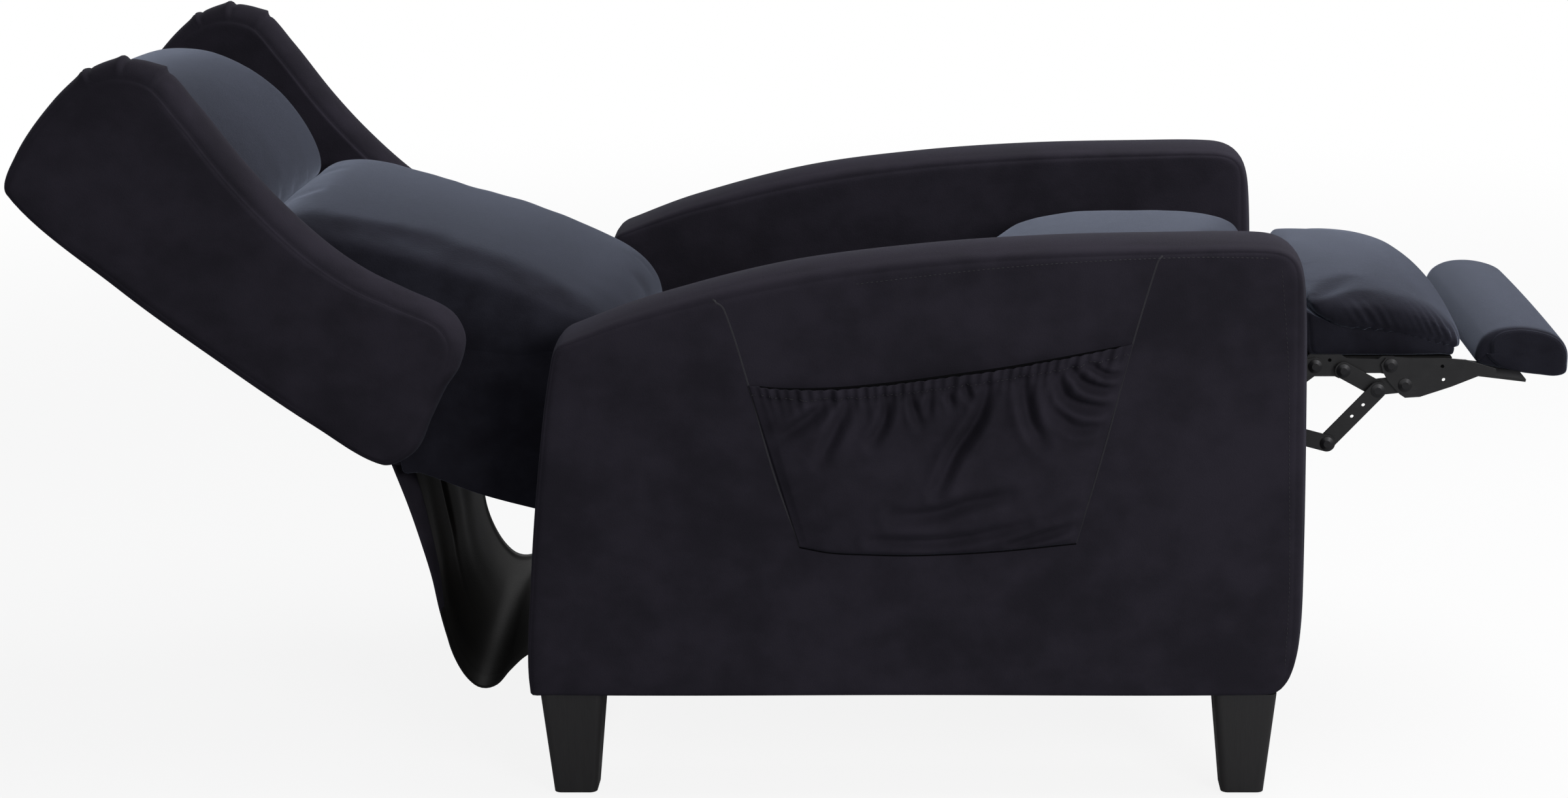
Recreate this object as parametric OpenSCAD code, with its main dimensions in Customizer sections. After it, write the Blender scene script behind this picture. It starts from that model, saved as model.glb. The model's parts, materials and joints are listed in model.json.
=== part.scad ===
// Wingback recliner, drawn leaned back with its footrest out.
// X runs forward towards the footrest, Y to the sitter's left, Z up from the floor.
// The origin lies on the floor, below the middle of the leaned-back chair.

/* [Arms] */
// Overall width over the two arms
overall_w = 700; // [660:5:760]
// Thickness of one arm
arm_w = 105; // [95:1:115]
// How far the padded band stands out beyond the side panels
arm_crown = 16; // [6:1:20]
// Thickness of the timber in an arm
arm_timber_w = 45; // [30:1:50]

/* [Legs] */
// Height from the floor to the underside of the arms
leg_h = 118; // [100:1:130]
// Width of a leg where it meets the arm
leg_top_w = 67; // [50:1:70]
// Width of a leg at its foot
leg_foot_w = 46; // [30:1:48]
// Thickness of the glide under each leg
glide_t = 3; // [2:0.5:6]
// Radius of a glide
glide_r = 14; // [8:1:16]
// Radius of the bolt that holds a leg
leg_bolt_r = 4; // [3:0.5:6]

/* [Pocket] */
// Depth of the side pocket at its fullest
pocket_depth = 14; // [8:1:16]
// Thickness of the pocket cloth
pocket_cloth_t = 2.4; // [1.5:0.1:4]
// Height of one gather at the pocket's mouth
pocket_gather = 1.8; // [0:0.1:2.4]
// Number of gathers along the mouth
pocket_gathers = 9; // [5:1:12]

/* [Seat] */
// Clearance between the seat cushion and each arm
seat_side_gap = 16; // [12:1:24]
// Roundness of the seat cushion's sides
seat_round = 34; // [15:1:45]
// Extra fullness of the seat cushion at its middle
seat_crown_share = 0.12; // [0:0.01:0.2]
// Height of the seat frame's rails
seat_rail_h = 50; // [35:1:52]
// Thickness of the seat frame's rails
seat_rail_t = 25; // [18:1:30]
// Number of springs under the seat
spring_count = 5; // [3:1:7]
// Width of the wire of a seat spring
spring_wire = 4; // [3:0.5:5]

/* [Back] */
// Slope of the back's rear face in the leaned-back chair, in degrees
back_slope = 39.4; // [39:0.2:39.8]
// Space between the back and each arm, for the mechanism
mechanism_w = 33; // [33:0.5:36]
// Thickness of a wing
wing_t = 60; // [50:1:62]
// Roundness of a wing's edge
wing_round = 20; // [8:1:26]
// Extra fullness of the head cushion at its middle
head_crown_share = 0.30; // [0:0.01:0.4]
// Extra fullness of the lumbar cushion at its middle
lumbar_crown_share = 0.10; // [0:0.01:0.14]

/* [Footrest] */
// Clearance between the main footrest pad and the linkage
ottoman_side_gap = 11; // [8:1:20]
// Roundness of the main footrest pad's sides
ottoman_round = 26; // [10:1:30]
// Extra fullness of the main footrest pad at its middle
ottoman_crown_share = 0.30; // [0:0.01:0.4]
// Extra fullness of the main footrest pad's front at its middle
ottoman_front_share = 0.08; // [0:0.01:0.1]
// How much narrower the front flap's pad is at each end
flap_inset = 20; // [12:1:30]
// Roundness of the front flap's ends
flap_round = 12; // [5:1:18]
// Thickness of the boards under the pads
board_t = 12; // [8:1:12]

/* [Mechanism] */
// Thickness of the steel bars
bar_t = 3; // [2.5:0.1:3.2]
// Half the width of a steel bar
bar_r = 9; // [8:0.5:9]
// Radius of the rivets
rivet_r = 4; // [3:0.25:5]
// Radius of a rivet's domed head
rivet_head_r = 7.5; // [6:0.5:8]
// Height of a rivet's domed head
rivet_head_h = 3; // [2:0.25:3.2]
// Running clearance between a rivet and its hole
rivet_gap = 0.05; // [0.02:0.01:0.1]
// Length of a swing link between its two rivets
swing_len = 80; // [79:1:81]

/* [Hidden] */
$fn = 32;

// Sides: the sitter's right is at minus Y, and a mirror makes the left.
RIGHT = 0;
LEFT = 1;
arm_outer = overall_w / 2;
arm_inner = arm_outer - arm_w;
arm_mid = arm_outer - arm_w / 2;
seat_half_w = arm_inner - seat_side_gap;
back_half_w = arm_inner - mechanism_w;

// Outlines in the plane of the arms, as X and Z.
arm_outline = [
    [-290, 96], [-285, 240], [-271, 390], [-256, 484], [-240, 502],
    [-158, 535], [-19, 571], [119, 591], [257, 601], [395, 604],
    [488, 602], [515, 589], [526, 552], [530, 460], [533, 230],
    [530, 165], [513, 122], [480, 96], [120, 96]
];
arm_cavity = [
    [-264, leg_h], [-240, 440], [-140, 490], [60, 535], [300, 555],
    [470, 555], [486, leg_h]
];
seat_outline = [
    [-72, 424], [-84, 446], [-74, 474], [0, 497], [90, 509], [160, 513],
    [204, 508], [244, 530], [300, 543], [360, 546], [430, 542], [486, 531],
    [508, 506], [510, 460], [494, 426],
    [462, 420], [430, 418.7], [300, 418.6], [100, 418.6], [-10, 418.8],
    [-45, 420.5]
];
ottoman_outline = [
    [538, 458], [526, 474], [524, 496], [534, 512], [560, 520],
    [600, 521], [640, 518], [676, 509], [700, 492], [710, 473], [704, 461],
    [690, 456.4], [670, 455.5], [620, 455.5], [570, 455.5]
];
flap_outline = [
    [727, 456], [738, 470], [754, 480], [778, 485], [802, 482],
    [822, 473], [832, 459], [832, 446], [822, 443],
    [806, 444.4], [780, 447.4], [752, 450.8], [738, 453]
];

// Outlines in the back's own plane: first down the back, then out from it.
wing_outline = [
    [0, 0], [-18, 40], [-21, 110], [-9, 166], [10, 192], [46, 211],
    [95, 200], [167, 182], [225, 172], [290, 167], [340, 170], [385, 178],
    [440, 184], [470, 164], [487, 130], [500, 52], [480, 17], [400, 3],
    [290, -5], [150, -9]
];
head_outline = [
    [-14, 76], [-26, 88], [-15, 106], [2, 124], [28, 141], [66, 152],
    [106, 155], [146, 150], [182, 137], [206, 120], [213, 98], [204, 79],
    [185, 72.4], [100, 72.4], [10, 72.4]
];
lumbar_outline = [
    [228, 78], [218, 104], [223, 132], [250, 153], [303, 181], [374, 213],
    [457, 246], [533, 266], [574, 274], [605, 271], [630, 256], [636, 238],
    [624, 218], [606, 204], [530, 140], [452, 74], [430, 72.4], [340, 72.4],
    [250, 72.4]
];
stile_outline = [
    [14, 14], [486, 14], [512, 42], [583, 64], [690, 113], [696, 208],
    [612, 208], [452, 72], [14, 72]
];
panel_outline = [
    [0, 0], [496, 3], [520, 28], [587, 50], [690, 97], [686, 107],
    [583, 61], [514, 39], [490, 13], [0, 12]
];
bracket_outline = [
    [560, 108], [640, 112], [700, 134], [722, 142], [721, 156], [704, 162],
    [676, 206], [660, 214], [560, 150]
];
back_origin = [-834, 642];

// Pivots in the leaned-back chair, as X and Z.
back_pivot = [-200, 380];
recline_pivot = [-190, 305];
recline_base_pivot = [-241.2, 265];
rear_swing_top = [-60, 345];
front_swing_top = [330, 345];
upper_pivot = [465.69, 431.5];
lower_pivot = [414, 407.4];
lower_knee = [563.2, 367.2];
crank_end = [616.8, 424.8];
flap_link_end = [647.6, 428.2];
crank_pivot = [580.2, 445];
ottoman_pivot = [550, 449];
flap_pivot = [631.5, 450];
// Lean of the swing links towards the rear, in degrees
swing_lean = 5.55;
swing_drop = [
    swing_len * sin(swing_lean), -swing_len * cos(swing_lean)
];
rear_swing_foot = rear_swing_top + swing_drop;
front_swing_foot = front_swing_top + swing_drop;

// Layers of the mechanism, counted out from the middle of the chair.
layer_gap = 0.6;
layer_pitch = bar_t + layer_gap;
head_gap = 0.3;
low_head_h = 1.4;
bracket_gap = 3.4;
bracket_y = back_half_w + bracket_gap;
rail_y = bracket_y + layer_pitch;
ottoman_half_w = rail_y - ottoman_side_gap;
flap_half_w = ottoman_half_w - flap_inset;
link_y = rail_y + layer_pitch;
crank_y = link_y + layer_pitch;
riser_y = crank_y + 2 * layer_pitch;
lower_y = riser_y + layer_pitch + low_head_h;
base_rail_y = arm_inner - bar_t - layer_gap;
swing_y = base_rail_y - layer_pitch;

/* Helpers */

function way(p, q) = norm(q - p);

// The direction of a smooth curve through q on its way from p to r
function heading(p, q, r) = (r - p) / (way(p, q) + way(q, r));

function spline_point(a, b, c, d, t) =
    let (t2 = t * t, t3 = t2 * t, long = way(b, c))
    b * (2 * t3 - 3 * t2 + 1) + heading(a, b, c) * long * (t3 - 2 * t2 + t)
        + c * (3 * t2 - 2 * t3) + heading(b, c, d) * long * (t3 - t2);

// A closed smooth curve through the points
function closed_spline(pts, steps) =
    let (n = len(pts))
    [for (i = [0 : n - 1], k = [0 : steps - 1])
        spline_point(pts[(i + n - 1) % n], pts[i], pts[(i + 1) % n],
            pts[(i + 2) % n], k / steps)];

function middle(pts) =
    let (xs = [for (p = pts) p[0]], zs = [for (p = pts) p[1]])
    [(min(xs) + max(xs)) / 2, (min(zs) + max(zs)) / 2];

function half_size(pts) =
    let (xs = [for (p = pts) p[0]], zs = [for (p = pts) p[1]])
    [(max(xs) - min(xs)) / 2, (max(zs) - min(zs)) / 2];

// A ring of the outline drawn in by a length, at the side position y
function drawn_ring(pts, inset, y, crown_share, front_share) =
    let (c = middle(pts), h = half_size(pts))
    [for (p = pts)
        [c[0] + (p[0] - c[0]) * (1 - inset / h[0])
                * (1 + (p[0] > c[0] ? front_share : 0)), y,
            c[1] + (p[1] - c[1]) * (1 - inset / h[1])
                * (1 + (p[1] > c[1] ? crown_share : 0))]];

// A solid through a list of equal rings, closed by a fan at each end
module ring_solid(rings, end_a, end_b) {
    n = len(rings[0]);
    m = len(rings);
    pts = concat([for (r = rings, p = r) p], [end_a, end_b]);
    walls = [for (j = [0 : m - 2], i = [0 : n - 1], k = [0, 1])
        let (a = j * n + i, b = j * n + (i + 1) % n, c = a + n, d = b + n)
        k == 0 ? [a, c, b] : [b, c, d]];
    cap_a = [for (i = [0 : n - 1]) [m * n, i, (i + 1) % n]];
    cap_b = [for (i = [0 : n - 1])
        [m * n + 1, (m - 1) * n + (i + 1) % n, (m - 1) * n + i]];
    polyhedron(pts, concat(walls, cap_a, cap_b));
}

// A stuffed form: a side outline drawn across from y_a to y_b,
// rounded over its two ends and fuller in the middle.
module stuffed(outline, y_a, y_b, round_r, crown_share, steps = 2,
    end_rings = 3, mid_rings = 3, front_share = 0) {
    pts = closed_spline(outline, steps);
    c = middle(pts);
    quarter = 90;
    ends = [for (i = [0 : end_rings])
        let (a = quarter * i / end_rings)
        [round_r * (1 - sin(a)), round_r * (1 - cos(a))]];
    span = y_b - y_a;
    half = span / 2;
    mids = [for (i = [1 : mid_rings])
        round_r + (span - 2 * round_r) * i / (mid_rings + 1)];
    profile = concat(
        [for (e = ends) [y_a + e[1], e[0]]],
        [for (m = mids) [y_a + m, 0]],
        [for (i = [end_rings : -1 : 0]) [y_b - ends[i][1], ends[i][0]]]);
    rings = [for (q = profile)
        let (u = (q[0] - (y_a + half)) / half)
        drawn_ring(pts, q[1], q[0], crown_share * (1 - u * u),
            front_share * (1 - u * u))];
    ring_solid(rings, [c[0], y_a, c[1]], [c[0], y_b, c[1]]);
}

// Draws a flat X and Z outline as a plate, from y_a outward on one side
module plate(side, y_a, t) {
    mirror([0, side, 0]) translate([0, -y_a, 0]) rotate([90, 0, 0])
        linear_extrude(t) children();
}

module both_sides() {
    for (s = [RIGHT, LEFT]) mirror([0, s, 0]) children();
}

module turned_in_back() {
    translate([back_origin[0], 0, back_origin[1]])
        rotate([0, back_slope, 0]) children();
}

// A flat bar with round ends between two pivots, without its holes
module bar_shape(p, q, r) {
    d = q - p;
    long = norm(d);
    translate(p) rotate(atan2(d[1], d[0])) {
        circle(r);
        translate([0, -r]) square([long, 2 * r]);
        translate([long, 0]) circle(r);
    }
}

module holes_at(points, r) {
    for (p = points) translate(p) circle(r);
}

// A pair of flat bars, one each side, with a hole for every rivet
module bar_pair(p, q, y, holes) {
    both_sides() plate(RIGHT, y, bar_t) difference() {
        bar_shape(p, q, bar_r);
        holes_at(holes, rivet_r + rivet_gap);
    }
}

// A headed rivet on the right side: pin from y_a out to y_b, with a collar
// that fills the gap from c_a to c_b where the bars lie apart
module rivet(p, y_a, y_b, c_a = 0, c_b = 0, head_h = rivet_head_h) {
    rim = head_h / 3;
    translate([p[0], -y_a, p[1]]) rotate([90, 0, 0]) {
        cylinder(r = rivet_r, h = y_b - y_a);
        translate([0, 0, y_b - y_a]) {
            cylinder(r = rivet_head_r, h = rim);
            translate([0, 0, rim])
                cylinder(r1 = rivet_head_r, r2 = rivet_head_r / 2,
                    h = head_h - rim);
        }
    }
    if (c_b > c_a)
        translate([p[0], -c_a, p[1]]) rotate([90, 0, 0])
            cylinder(r = rivet_head_r, h = c_b - c_a);
}

/* Base */

module arm_cover(side) {
    color([0.10, 0.10, 0.13]) mirror([0, side, 0]) difference() {
        stuffed(arm_outline, -arm_outer, -arm_inner, arm_crown, 0);
        translate([0, -arm_mid + arm_timber_w / 2, 0]) rotate([90, 0, 0])
            linear_extrude(arm_timber_w) polygon(arm_cavity);
        arm_foot_trim();
    }
}

// Takes the rounding off the arm's underside, so it stands flat on its legs
module arm_foot_trim() {
    low = 60;
    long = 2 * overall_w;
    translate([-overall_w, -overall_w, leg_h - low])
        cube([long, long, low]);
}

post_w = 42;
arm_bottom_h = 42;
arm_rail_h = 40;
arm_front_post_x = [430, 476];
arm_rear_post_x = [-250, -204];

module arm_frame(side) {
    color([0.72, 0.58, 0.40]) mirror([0, side, 0])
        translate([0, -arm_mid + arm_timber_w / 2, 0]) difference() {
            rotate([90, 0, 0]) linear_extrude(arm_timber_w)
                intersection() {
                    polygon(arm_cavity);
                    union() {
                        translate([arm_cavity[0][0], leg_h])
                            square([overall_w * 2, arm_bottom_h]);
                        translate([arm_front_post_x[0], leg_h])
                            square([post_w, overall_w]);
                        translate([arm_rear_post_x[0], leg_h])
                            square([post_w, overall_w]);
                        difference() {
                            polygon(arm_cavity);
                            translate([0, -arm_rail_h]) polygon(arm_cavity);
                        }
                    }
                }
            for (x = [front_leg_x, rear_leg_x])
                translate([x, -arm_timber_w / 2, leg_h])
                    cylinder(r = leg_bolt_r, h = leg_bolt_reach);
        }
}

front_leg_x = 472;
rear_leg_x = -246.5;
leg_inset = 5;
leg_mid_y = arm_outer - leg_inset - leg_top_w / 2;
leg_corner_r = 8;
leg_bolt_reach = 34;
leg_bolt_depth = 40;

module leg(side, x) {
    top_h = 1;
    color([0.12, 0.12, 0.12]) mirror([0, side, 0]) difference() {
        hull() {
            translate([x, -leg_mid_y, leg_h - top_h]) linear_extrude(top_h)
                offset(leg_corner_r)
                    square(leg_top_w - 2 * leg_corner_r, center = true);
            translate([x, -leg_mid_y, glide_t]) linear_extrude(top_h)
                offset(leg_corner_r)
                    square(leg_foot_w - 2 * leg_corner_r, center = true);
        }
        translate([x, -arm_mid, leg_h - leg_bolt_depth])
            cylinder(r = leg_bolt_r, h = leg_bolt_depth + top_h);
    }
}

module leg_bolts() {
    color("silver") both_sides() for (x = [front_leg_x, rear_leg_x])
        translate([x, -arm_mid, leg_h - leg_bolt_depth])
            cylinder(r = leg_bolt_r, h = leg_bolt_depth + leg_bolt_reach);
}

module leg_glides() {
    color([0.2, 0.2, 0.2]) both_sides() for (x = [front_leg_x, rear_leg_x])
        translate([x, -leg_mid_y, 0]) cylinder(r = glide_r, h = glide_t);
}

// The pocket's corners, as X and Z: its foot and its mouth
pocket_foot = [[0, 286], [288, 291]];
pocket_mouth = [[-48, 457], [342, 499]];
pocket_foot_sag = 12;
pocket_mouth_sag = 16;
pocket_full_share = 0.62;
pocket_close_share = 0.30;
pocket_columns = 36;
pocket_rows = 9;
pocket_seat_y = arm_outer;

function pocket_place(u, v) =
    let (foot = pocket_foot[0] + (pocket_foot[1] - pocket_foot[0]) * u,
        mouth = pocket_mouth[0] + (pocket_mouth[1] - pocket_mouth[0]) * u,
        sag = sin(180 * u))
    foot * (1 - v) + mouth * v
        - [0, pocket_foot_sag * sag * (1 - v) + pocket_mouth_sag * sag * v];

// How far the cloth stands off the arm: full low down, gathered at the mouth
function pocket_stand(u, v) =
    let (across = sqrt(sin(180 * u)),
        up = sqrt(sin(90 * min(1, v / pocket_full_share))))
    pocket_cloth_t
        + pocket_depth * across * up * (1 - pocket_close_share * v)
        + pocket_gather * cos(360 * pocket_gathers * u) * across * v;

module right_arm_pocket() {
    nu = pocket_columns;
    nv = pocket_rows;
    row = nu + 1;
    sheet = row * (nv + 1);
    inner = function (u, v)
        max(0, pocket_stand(u, v) - pocket_cloth_t) * (v > 0 ? 1 : 0);
    pts = [for (k = [0, 1], j = [0 : nv], i = [0 : nu])
        let (u = i / nu, v = j / nv, p = pocket_place(u, v),
            d = k == 0 ? pocket_stand(u, v) : inner(u, v))
        [p[0], -pocket_seat_y - d, p[1]]];
    faces = [for (j = [0 : nv - 1], i = [0 : nu - 1], k = [0 : 3])
        let (a = j * row + i, b = a + 1, c = a + row, d = c + 1)
        k == 0 ? [a, c, b] : k == 1 ? [b, c, d]
            : k == 2 ? [sheet + a, sheet + b, sheet + c]
            : [sheet + b, sheet + d, sheet + c]];
    low = [for (i = [0 : nu - 1], k = [0, 1])
        k == 0 ? [i, i + 1, sheet + i] : [i + 1, sheet + i + 1, sheet + i]];
    top = [for (i = [0 : nu - 1], k = [0, 1])
        let (a = nv * row + i)
        k == 0 ? [a, sheet + a, a + 1] : [a + 1, sheet + a, sheet + a + 1]];
    sides = [for (j = [0 : nv - 1], k = [0 : 3])
        let (a = j * row, c = a + row, b = a + nu, d = c + nu)
        k == 0 ? [a, sheet + a, c] : k == 1 ? [c, sheet + a, sheet + c]
            : k == 2 ? [b, d, sheet + b] : [d, sheet + d, sheet + b]];
    color([0.10, 0.10, 0.12])
        polyhedron(pts, concat(faces, low, top, sides));
}

cross_rail_t = 25;
cross_rail_lift = 4;
middle_rail_at = [120, leg_h + cross_rail_lift];
middle_rail_h = 36;
rear_rail_at = [-262, leg_h + cross_rail_lift];
rear_rail_h = 70;

module cross_rail(at, h) {
    color([0.72, 0.58, 0.40]) translate([at[0], -arm_inner, at[1]])
        cube([cross_rail_t, 2 * arm_inner, h]);
}

base_rail_outline = [
    [-258, 252], [-246, 242], [350, 242], [362, 254], [362, 282],
    [350, 294], [-246, 294], [-258, 282]
];
base_bolts_at = [[-150, 268], [100, 268], [240, 268]];
base_bolt_r = 4;
base_bolt_head_r = 7;
base_bolt_head_h = 3;
base_bolt_len = 24;

module base_rail(side) {
    color([0.13, 0.13, 0.14]) plate(side, base_rail_y, bar_t + layer_gap)
        difference() {
            polygon(base_rail_outline);
            holes_at([rear_swing_foot, front_swing_foot, recline_base_pivot],
                rivet_r);
            holes_at(base_bolts_at, base_bolt_r);
        }
}

module base_rail_bolts() {
    color("silver") both_sides() for (p = base_bolts_at)
        translate([p[0], -base_rail_y, p[1]]) {
            rotate([90, 0, 0])
                cylinder(r = base_bolt_r, h = bar_t + layer_gap);
            rotate([-90, 0, 0])
                cylinder(r = base_bolt_head_r, h = base_bolt_head_h,
                    $fn = 6);
        }
}

// The base's rivets: each one stands inward from the rail through its link
module base_rivets() {
    back = bar_t + layer_gap;
    color([0.3, 0.3, 0.31]) both_sides()
        for (p = [rear_swing_foot, front_swing_foot, recline_base_pivot])
            mirror([0, 1, 0])
                rivet(p, -base_rail_y - back, -swing_y + head_gap);
}

// The rear sling's section, from under the back to the base, as X and Z
sling_section = [
    [-443, 322], [-430, 262], [-414, 190], [-402, 130], [-386, 94],
    [-364, 80], [-340, 88], [-318, 112], [-290, 128], [-262.2, 131]
];
sling_t = 2;
sling_inset = 7;
sling_half_w = back_half_w - sling_inset;
sling_lift = 16;
sling_ripple = 3;
sling_ripples = 3;
sling_columns = 16;

module rear_sling() {
    n = len(sling_section);
    cols = sling_columns;
    row = n;
    // The hem rises to one side, and the cloth waves a little across
    lift = function (u, s) sling_lift * u * sin(180 * s)
        + sling_ripple * sin(360 * sling_ripples * u) * sin(180 * s);
    normal = function (i)
        let (a = sling_section[max(0, i - 1)],
            b = sling_section[min(n - 1, i + 1)], d = (b - a) / norm(b - a))
        [-d[1], d[0]];
    pts = [for (k = [0, 1], j = [0 : cols], i = [0 : n - 1])
        let (u = j / cols, p = sling_section[i] + normal(i) * k * sling_t,
            s = i / (n - 1))
        [p[0], -sling_half_w + 2 * sling_half_w * u, p[1] + lift(u, s)]];
    sheet = row * (cols + 1);
    faces = [for (j = [0 : cols - 1], i = [0 : n - 2], k = [0 : 3])
        let (a = j * row + i, b = a + 1, c = a + row, d = c + 1)
        k == 0 ? [a, b, c] : k == 1 ? [b, d, c]
            : k == 2 ? [sheet + a, sheet + c, sheet + b]
            : [sheet + b, sheet + c, sheet + d]];
    hems = [for (i = [0 : n - 2], k = [0 : 3])
        let (a = i, b = i + 1, c = cols * row + i, d = c + 1)
        k == 0 ? [a, sheet + a, b] : k == 1 ? [b, sheet + a, sheet + b]
            : k == 2 ? [c, d, sheet + c] : [d, sheet + d, sheet + c]];
    ends = [for (j = [0 : cols - 1], k = [0 : 3])
        let (a = j * row, c = a + row, b = a + n - 1, d = c + n - 1)
        k == 0 ? [a, c, sheet + a] : k == 1 ? [c, sheet + c, sheet + a]
            : k == 2 ? [b, sheet + b, d] : [d, sheet + b, sheet + d]];
    color([0.12, 0.12, 0.13])
        polyhedron(pts, concat(faces, hems, ends));
}

/* Swinging links between base and seat */

module rear_swing_links() {
    color([0.13, 0.13, 0.14])
        bar_pair(rear_swing_top, rear_swing_foot, swing_y,
            [rear_swing_top, rear_swing_foot]);
}

module front_swing_links() {
    color([0.13, 0.13, 0.14])
        bar_pair(front_swing_top, front_swing_foot, swing_y,
            [front_swing_top, front_swing_foot]);
}

// The recline link's upper pivot is the open one, so it has no hole there
module recline_links() {
    color([0.13, 0.13, 0.14])
        bar_pair(recline_base_pivot, recline_pivot, swing_y,
            [recline_base_pivot]);
}

/* Seat */

seat_frame_x = [-90, 412];
seat_frame_z = 368;
seat_frame_half_w = rail_y;
seat_board_x = 500;
seat_board_z = 407;
seat_board_t = 12;

module seat_frame() {
    long = seat_frame_x[1] - seat_frame_x[0];
    wide = 2 * seat_frame_half_w;
    cut = seat_rail_t;
    groove = seat_rail_h / 5;
    color([0.72, 0.58, 0.40]) difference() {
        translate([seat_frame_x[0], -seat_frame_half_w, seat_frame_z])
            cube([long, wide, seat_rail_h]);
        translate([seat_frame_x[0] + cut, -seat_frame_half_w + cut,
            seat_frame_z - groove])
            cube([long - 2 * cut, wide - 2 * cut, seat_rail_h + 2 * groove]);
    }
}

module seat_front_board() {
    color([0.72, 0.58, 0.40])
        translate([seat_frame_x[1], -seat_frame_half_w,
            seat_frame_z + seat_rail_h - seat_board_t])
            cube([seat_board_x - seat_frame_x[1], 2 * seat_frame_half_w,
                seat_board_t]);
}

// One spring is a flat wave of wire from the rear rail to the front rail
spring_waves = 12;
spring_half_w = 20;
spring_z_share = 0.6;

function spring_line(long) =
    [for (i = [0 : spring_waves * 2])
        [long * i / (spring_waves * 2),
            i == 0 || i == spring_waves * 2 ? 0
                : (i % 2 == 0 ? -1 : 1) * spring_half_w]];

module seat_springs() {
    x_a = seat_frame_x[0] + seat_rail_t;
    long = seat_frame_x[1] - seat_frame_x[0] - 2 * seat_rail_t;
    line = spring_line(long);
    half = spring_wire / 2;
    reach = 2 * (seat_frame_half_w - seat_rail_t) / (spring_count + 1);
    up = [for (p = line) p + [0, spring_wire]];
    down = [for (i = [len(line) - 1 : -1 : 0]) line[i] - [0, spring_wire]];
    color([0.35, 0.35, 0.36]) for (i = [1 : spring_count])
        translate([x_a, -seat_frame_half_w + seat_rail_t + reach * i,
            seat_frame_z + seat_rail_h * spring_z_share])
            linear_extrude(spring_wire) polygon(concat(up, down));
}

seat_notch = [432, 450];

module seat_cushion() {
    clear = 1;
    color([0.30, 0.32, 0.37]) difference() {
        stuffed(seat_outline, -seat_half_w, seat_half_w, seat_round,
            seat_crown_share, 2);
        both_sides()
            translate([seat_notch[0] - seat_round, -overall_w,
                seat_board_z])
                cube([overall_w, overall_w - rail_y + clear,
                    seat_notch[1] - seat_board_z]);
    }
}

seat_rail_outline = [
    [-213, 374], [-213, 386], [-204, 394], [-90, 402], [300, 402],
    [400, 416], [430, 418], [454, 439], [460, 443], [472, 443],
    [479, 436], [479, 420], [430, 392], [400, 378], [352, 337],
    [344, 332], [-52, 332], [-74, 334], [-196, 366]
];

module seat_rail(side) {
    color([0.13, 0.13, 0.14]) plate(side, rail_y, bar_t) difference() {
        polygon(seat_rail_outline);
        holes_at([back_pivot], rivet_r + rivet_gap);
        holes_at([rear_swing_top, front_swing_top, upper_pivot, lower_pivot],
            rivet_r);
        translate(cross_tube_at) circle(cross_tube_r);
    }
}

cross_tube_at = [120, 351];
cross_tube_r = 11;
cross_tube_wall = 1.5;

module seat_cross_tube() {
    reach = rail_y + bar_t;
    color([0.13, 0.13, 0.14])
        translate([cross_tube_at[0], reach, cross_tube_at[1]])
            rotate([90, 0, 0]) difference() {
                cylinder(r = cross_tube_r, h = 2 * reach);
                translate([0, 0, -bar_t])
                    cylinder(r = cross_tube_r - cross_tube_wall,
                        h = 2 * (reach + bar_t));
            }
}

// The seat's rivets carry both swing links and both footrest links
module seat_rivets() {
    face = rail_y + bar_t;
    color([0.3, 0.3, 0.31]) both_sides() {
        for (p = [rear_swing_top, front_swing_top])
            long_pin(p, rail_y, swing_y + bar_t, face, swing_y - head_gap);
        rivet(upper_pivot, rail_y, link_y + bar_t + head_gap);
        rivet(lower_pivot, rail_y, lower_y + bar_t + head_gap,
            face, lower_y - head_gap);
    }
}

// A pin that ends flush in its bar, with a collar as wide as a rivet head
module long_pin(p, y_a, y_b, c_a, c_b) {
    translate([p[0], -y_a, p[1]]) rotate([90, 0, 0])
        cylinder(r = rivet_r, h = y_b - y_a);
    translate([p[0], -c_a, p[1]]) rotate([90, 0, 0])
        cylinder(r = rivet_head_r, h = c_b - c_a);
}

/* Back */

stile_t = 25;
back_rail_s = [14, 230, 440];
back_rail_w = 45;
back_rail_n = 14;
back_rail_t = 22;

module back_frame() {
    color([0.72, 0.58, 0.40]) turned_in_back() {
        both_sides() translate([0, -back_half_w + stile_t, 0])
            rotate([90, 0, 0]) linear_extrude(stile_t)
                polygon(stile_outline);
        inside = 2 * (back_half_w - stile_t);
        for (s = back_rail_s)
            translate([s, -inside / 2, back_rail_n])
                cube([back_rail_w, inside, back_rail_t]);
    }
}

module back_panel() {
    color([0.10, 0.10, 0.13]) turned_in_back()
        translate([0, back_half_w, 0]) rotate([90, 0, 0])
            linear_extrude(2 * back_half_w) polygon(panel_outline);
}

wing_gap = 0.3;
wing_inner = back_half_w + wing_gap;

module wing(side) {
    color([0.10, 0.10, 0.13]) mirror([0, side, 0]) turned_in_back()
        stuffed(wing_outline, -wing_inner - wing_t, -wing_inner,
            wing_round, 0);
}

cushion_round = 30;

module head_cushion() {
    color([0.30, 0.32, 0.37]) turned_in_back()
        stuffed(head_outline, -back_half_w, back_half_w, cushion_round,
            head_crown_share, 3);
}

module lumbar_cushion() {
    color([0.30, 0.32, 0.38]) turned_in_back() difference() {
        stuffed(lumbar_outline, -back_half_w, back_half_w, cushion_round,
            lumbar_crown_share);
        both_sides() translate([0, -back_half_w + stile_t, 0])
            rotate([90, 0, 0]) linear_extrude(stile_t * 2)
                polygon(stile_outline);
    }
}

strap_s = [110, 170, 320, 380];
strap_w = 40;
strap_t = 3;
strap_n = 62;

module back_straps() {
    color([0.45, 0.43, 0.40]) turned_in_back() for (s = strap_s)
        translate([s, -back_half_w + stile_t, strap_n])
            cube([strap_w, 2 * (back_half_w - stile_t), strap_t]);
}

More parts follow.
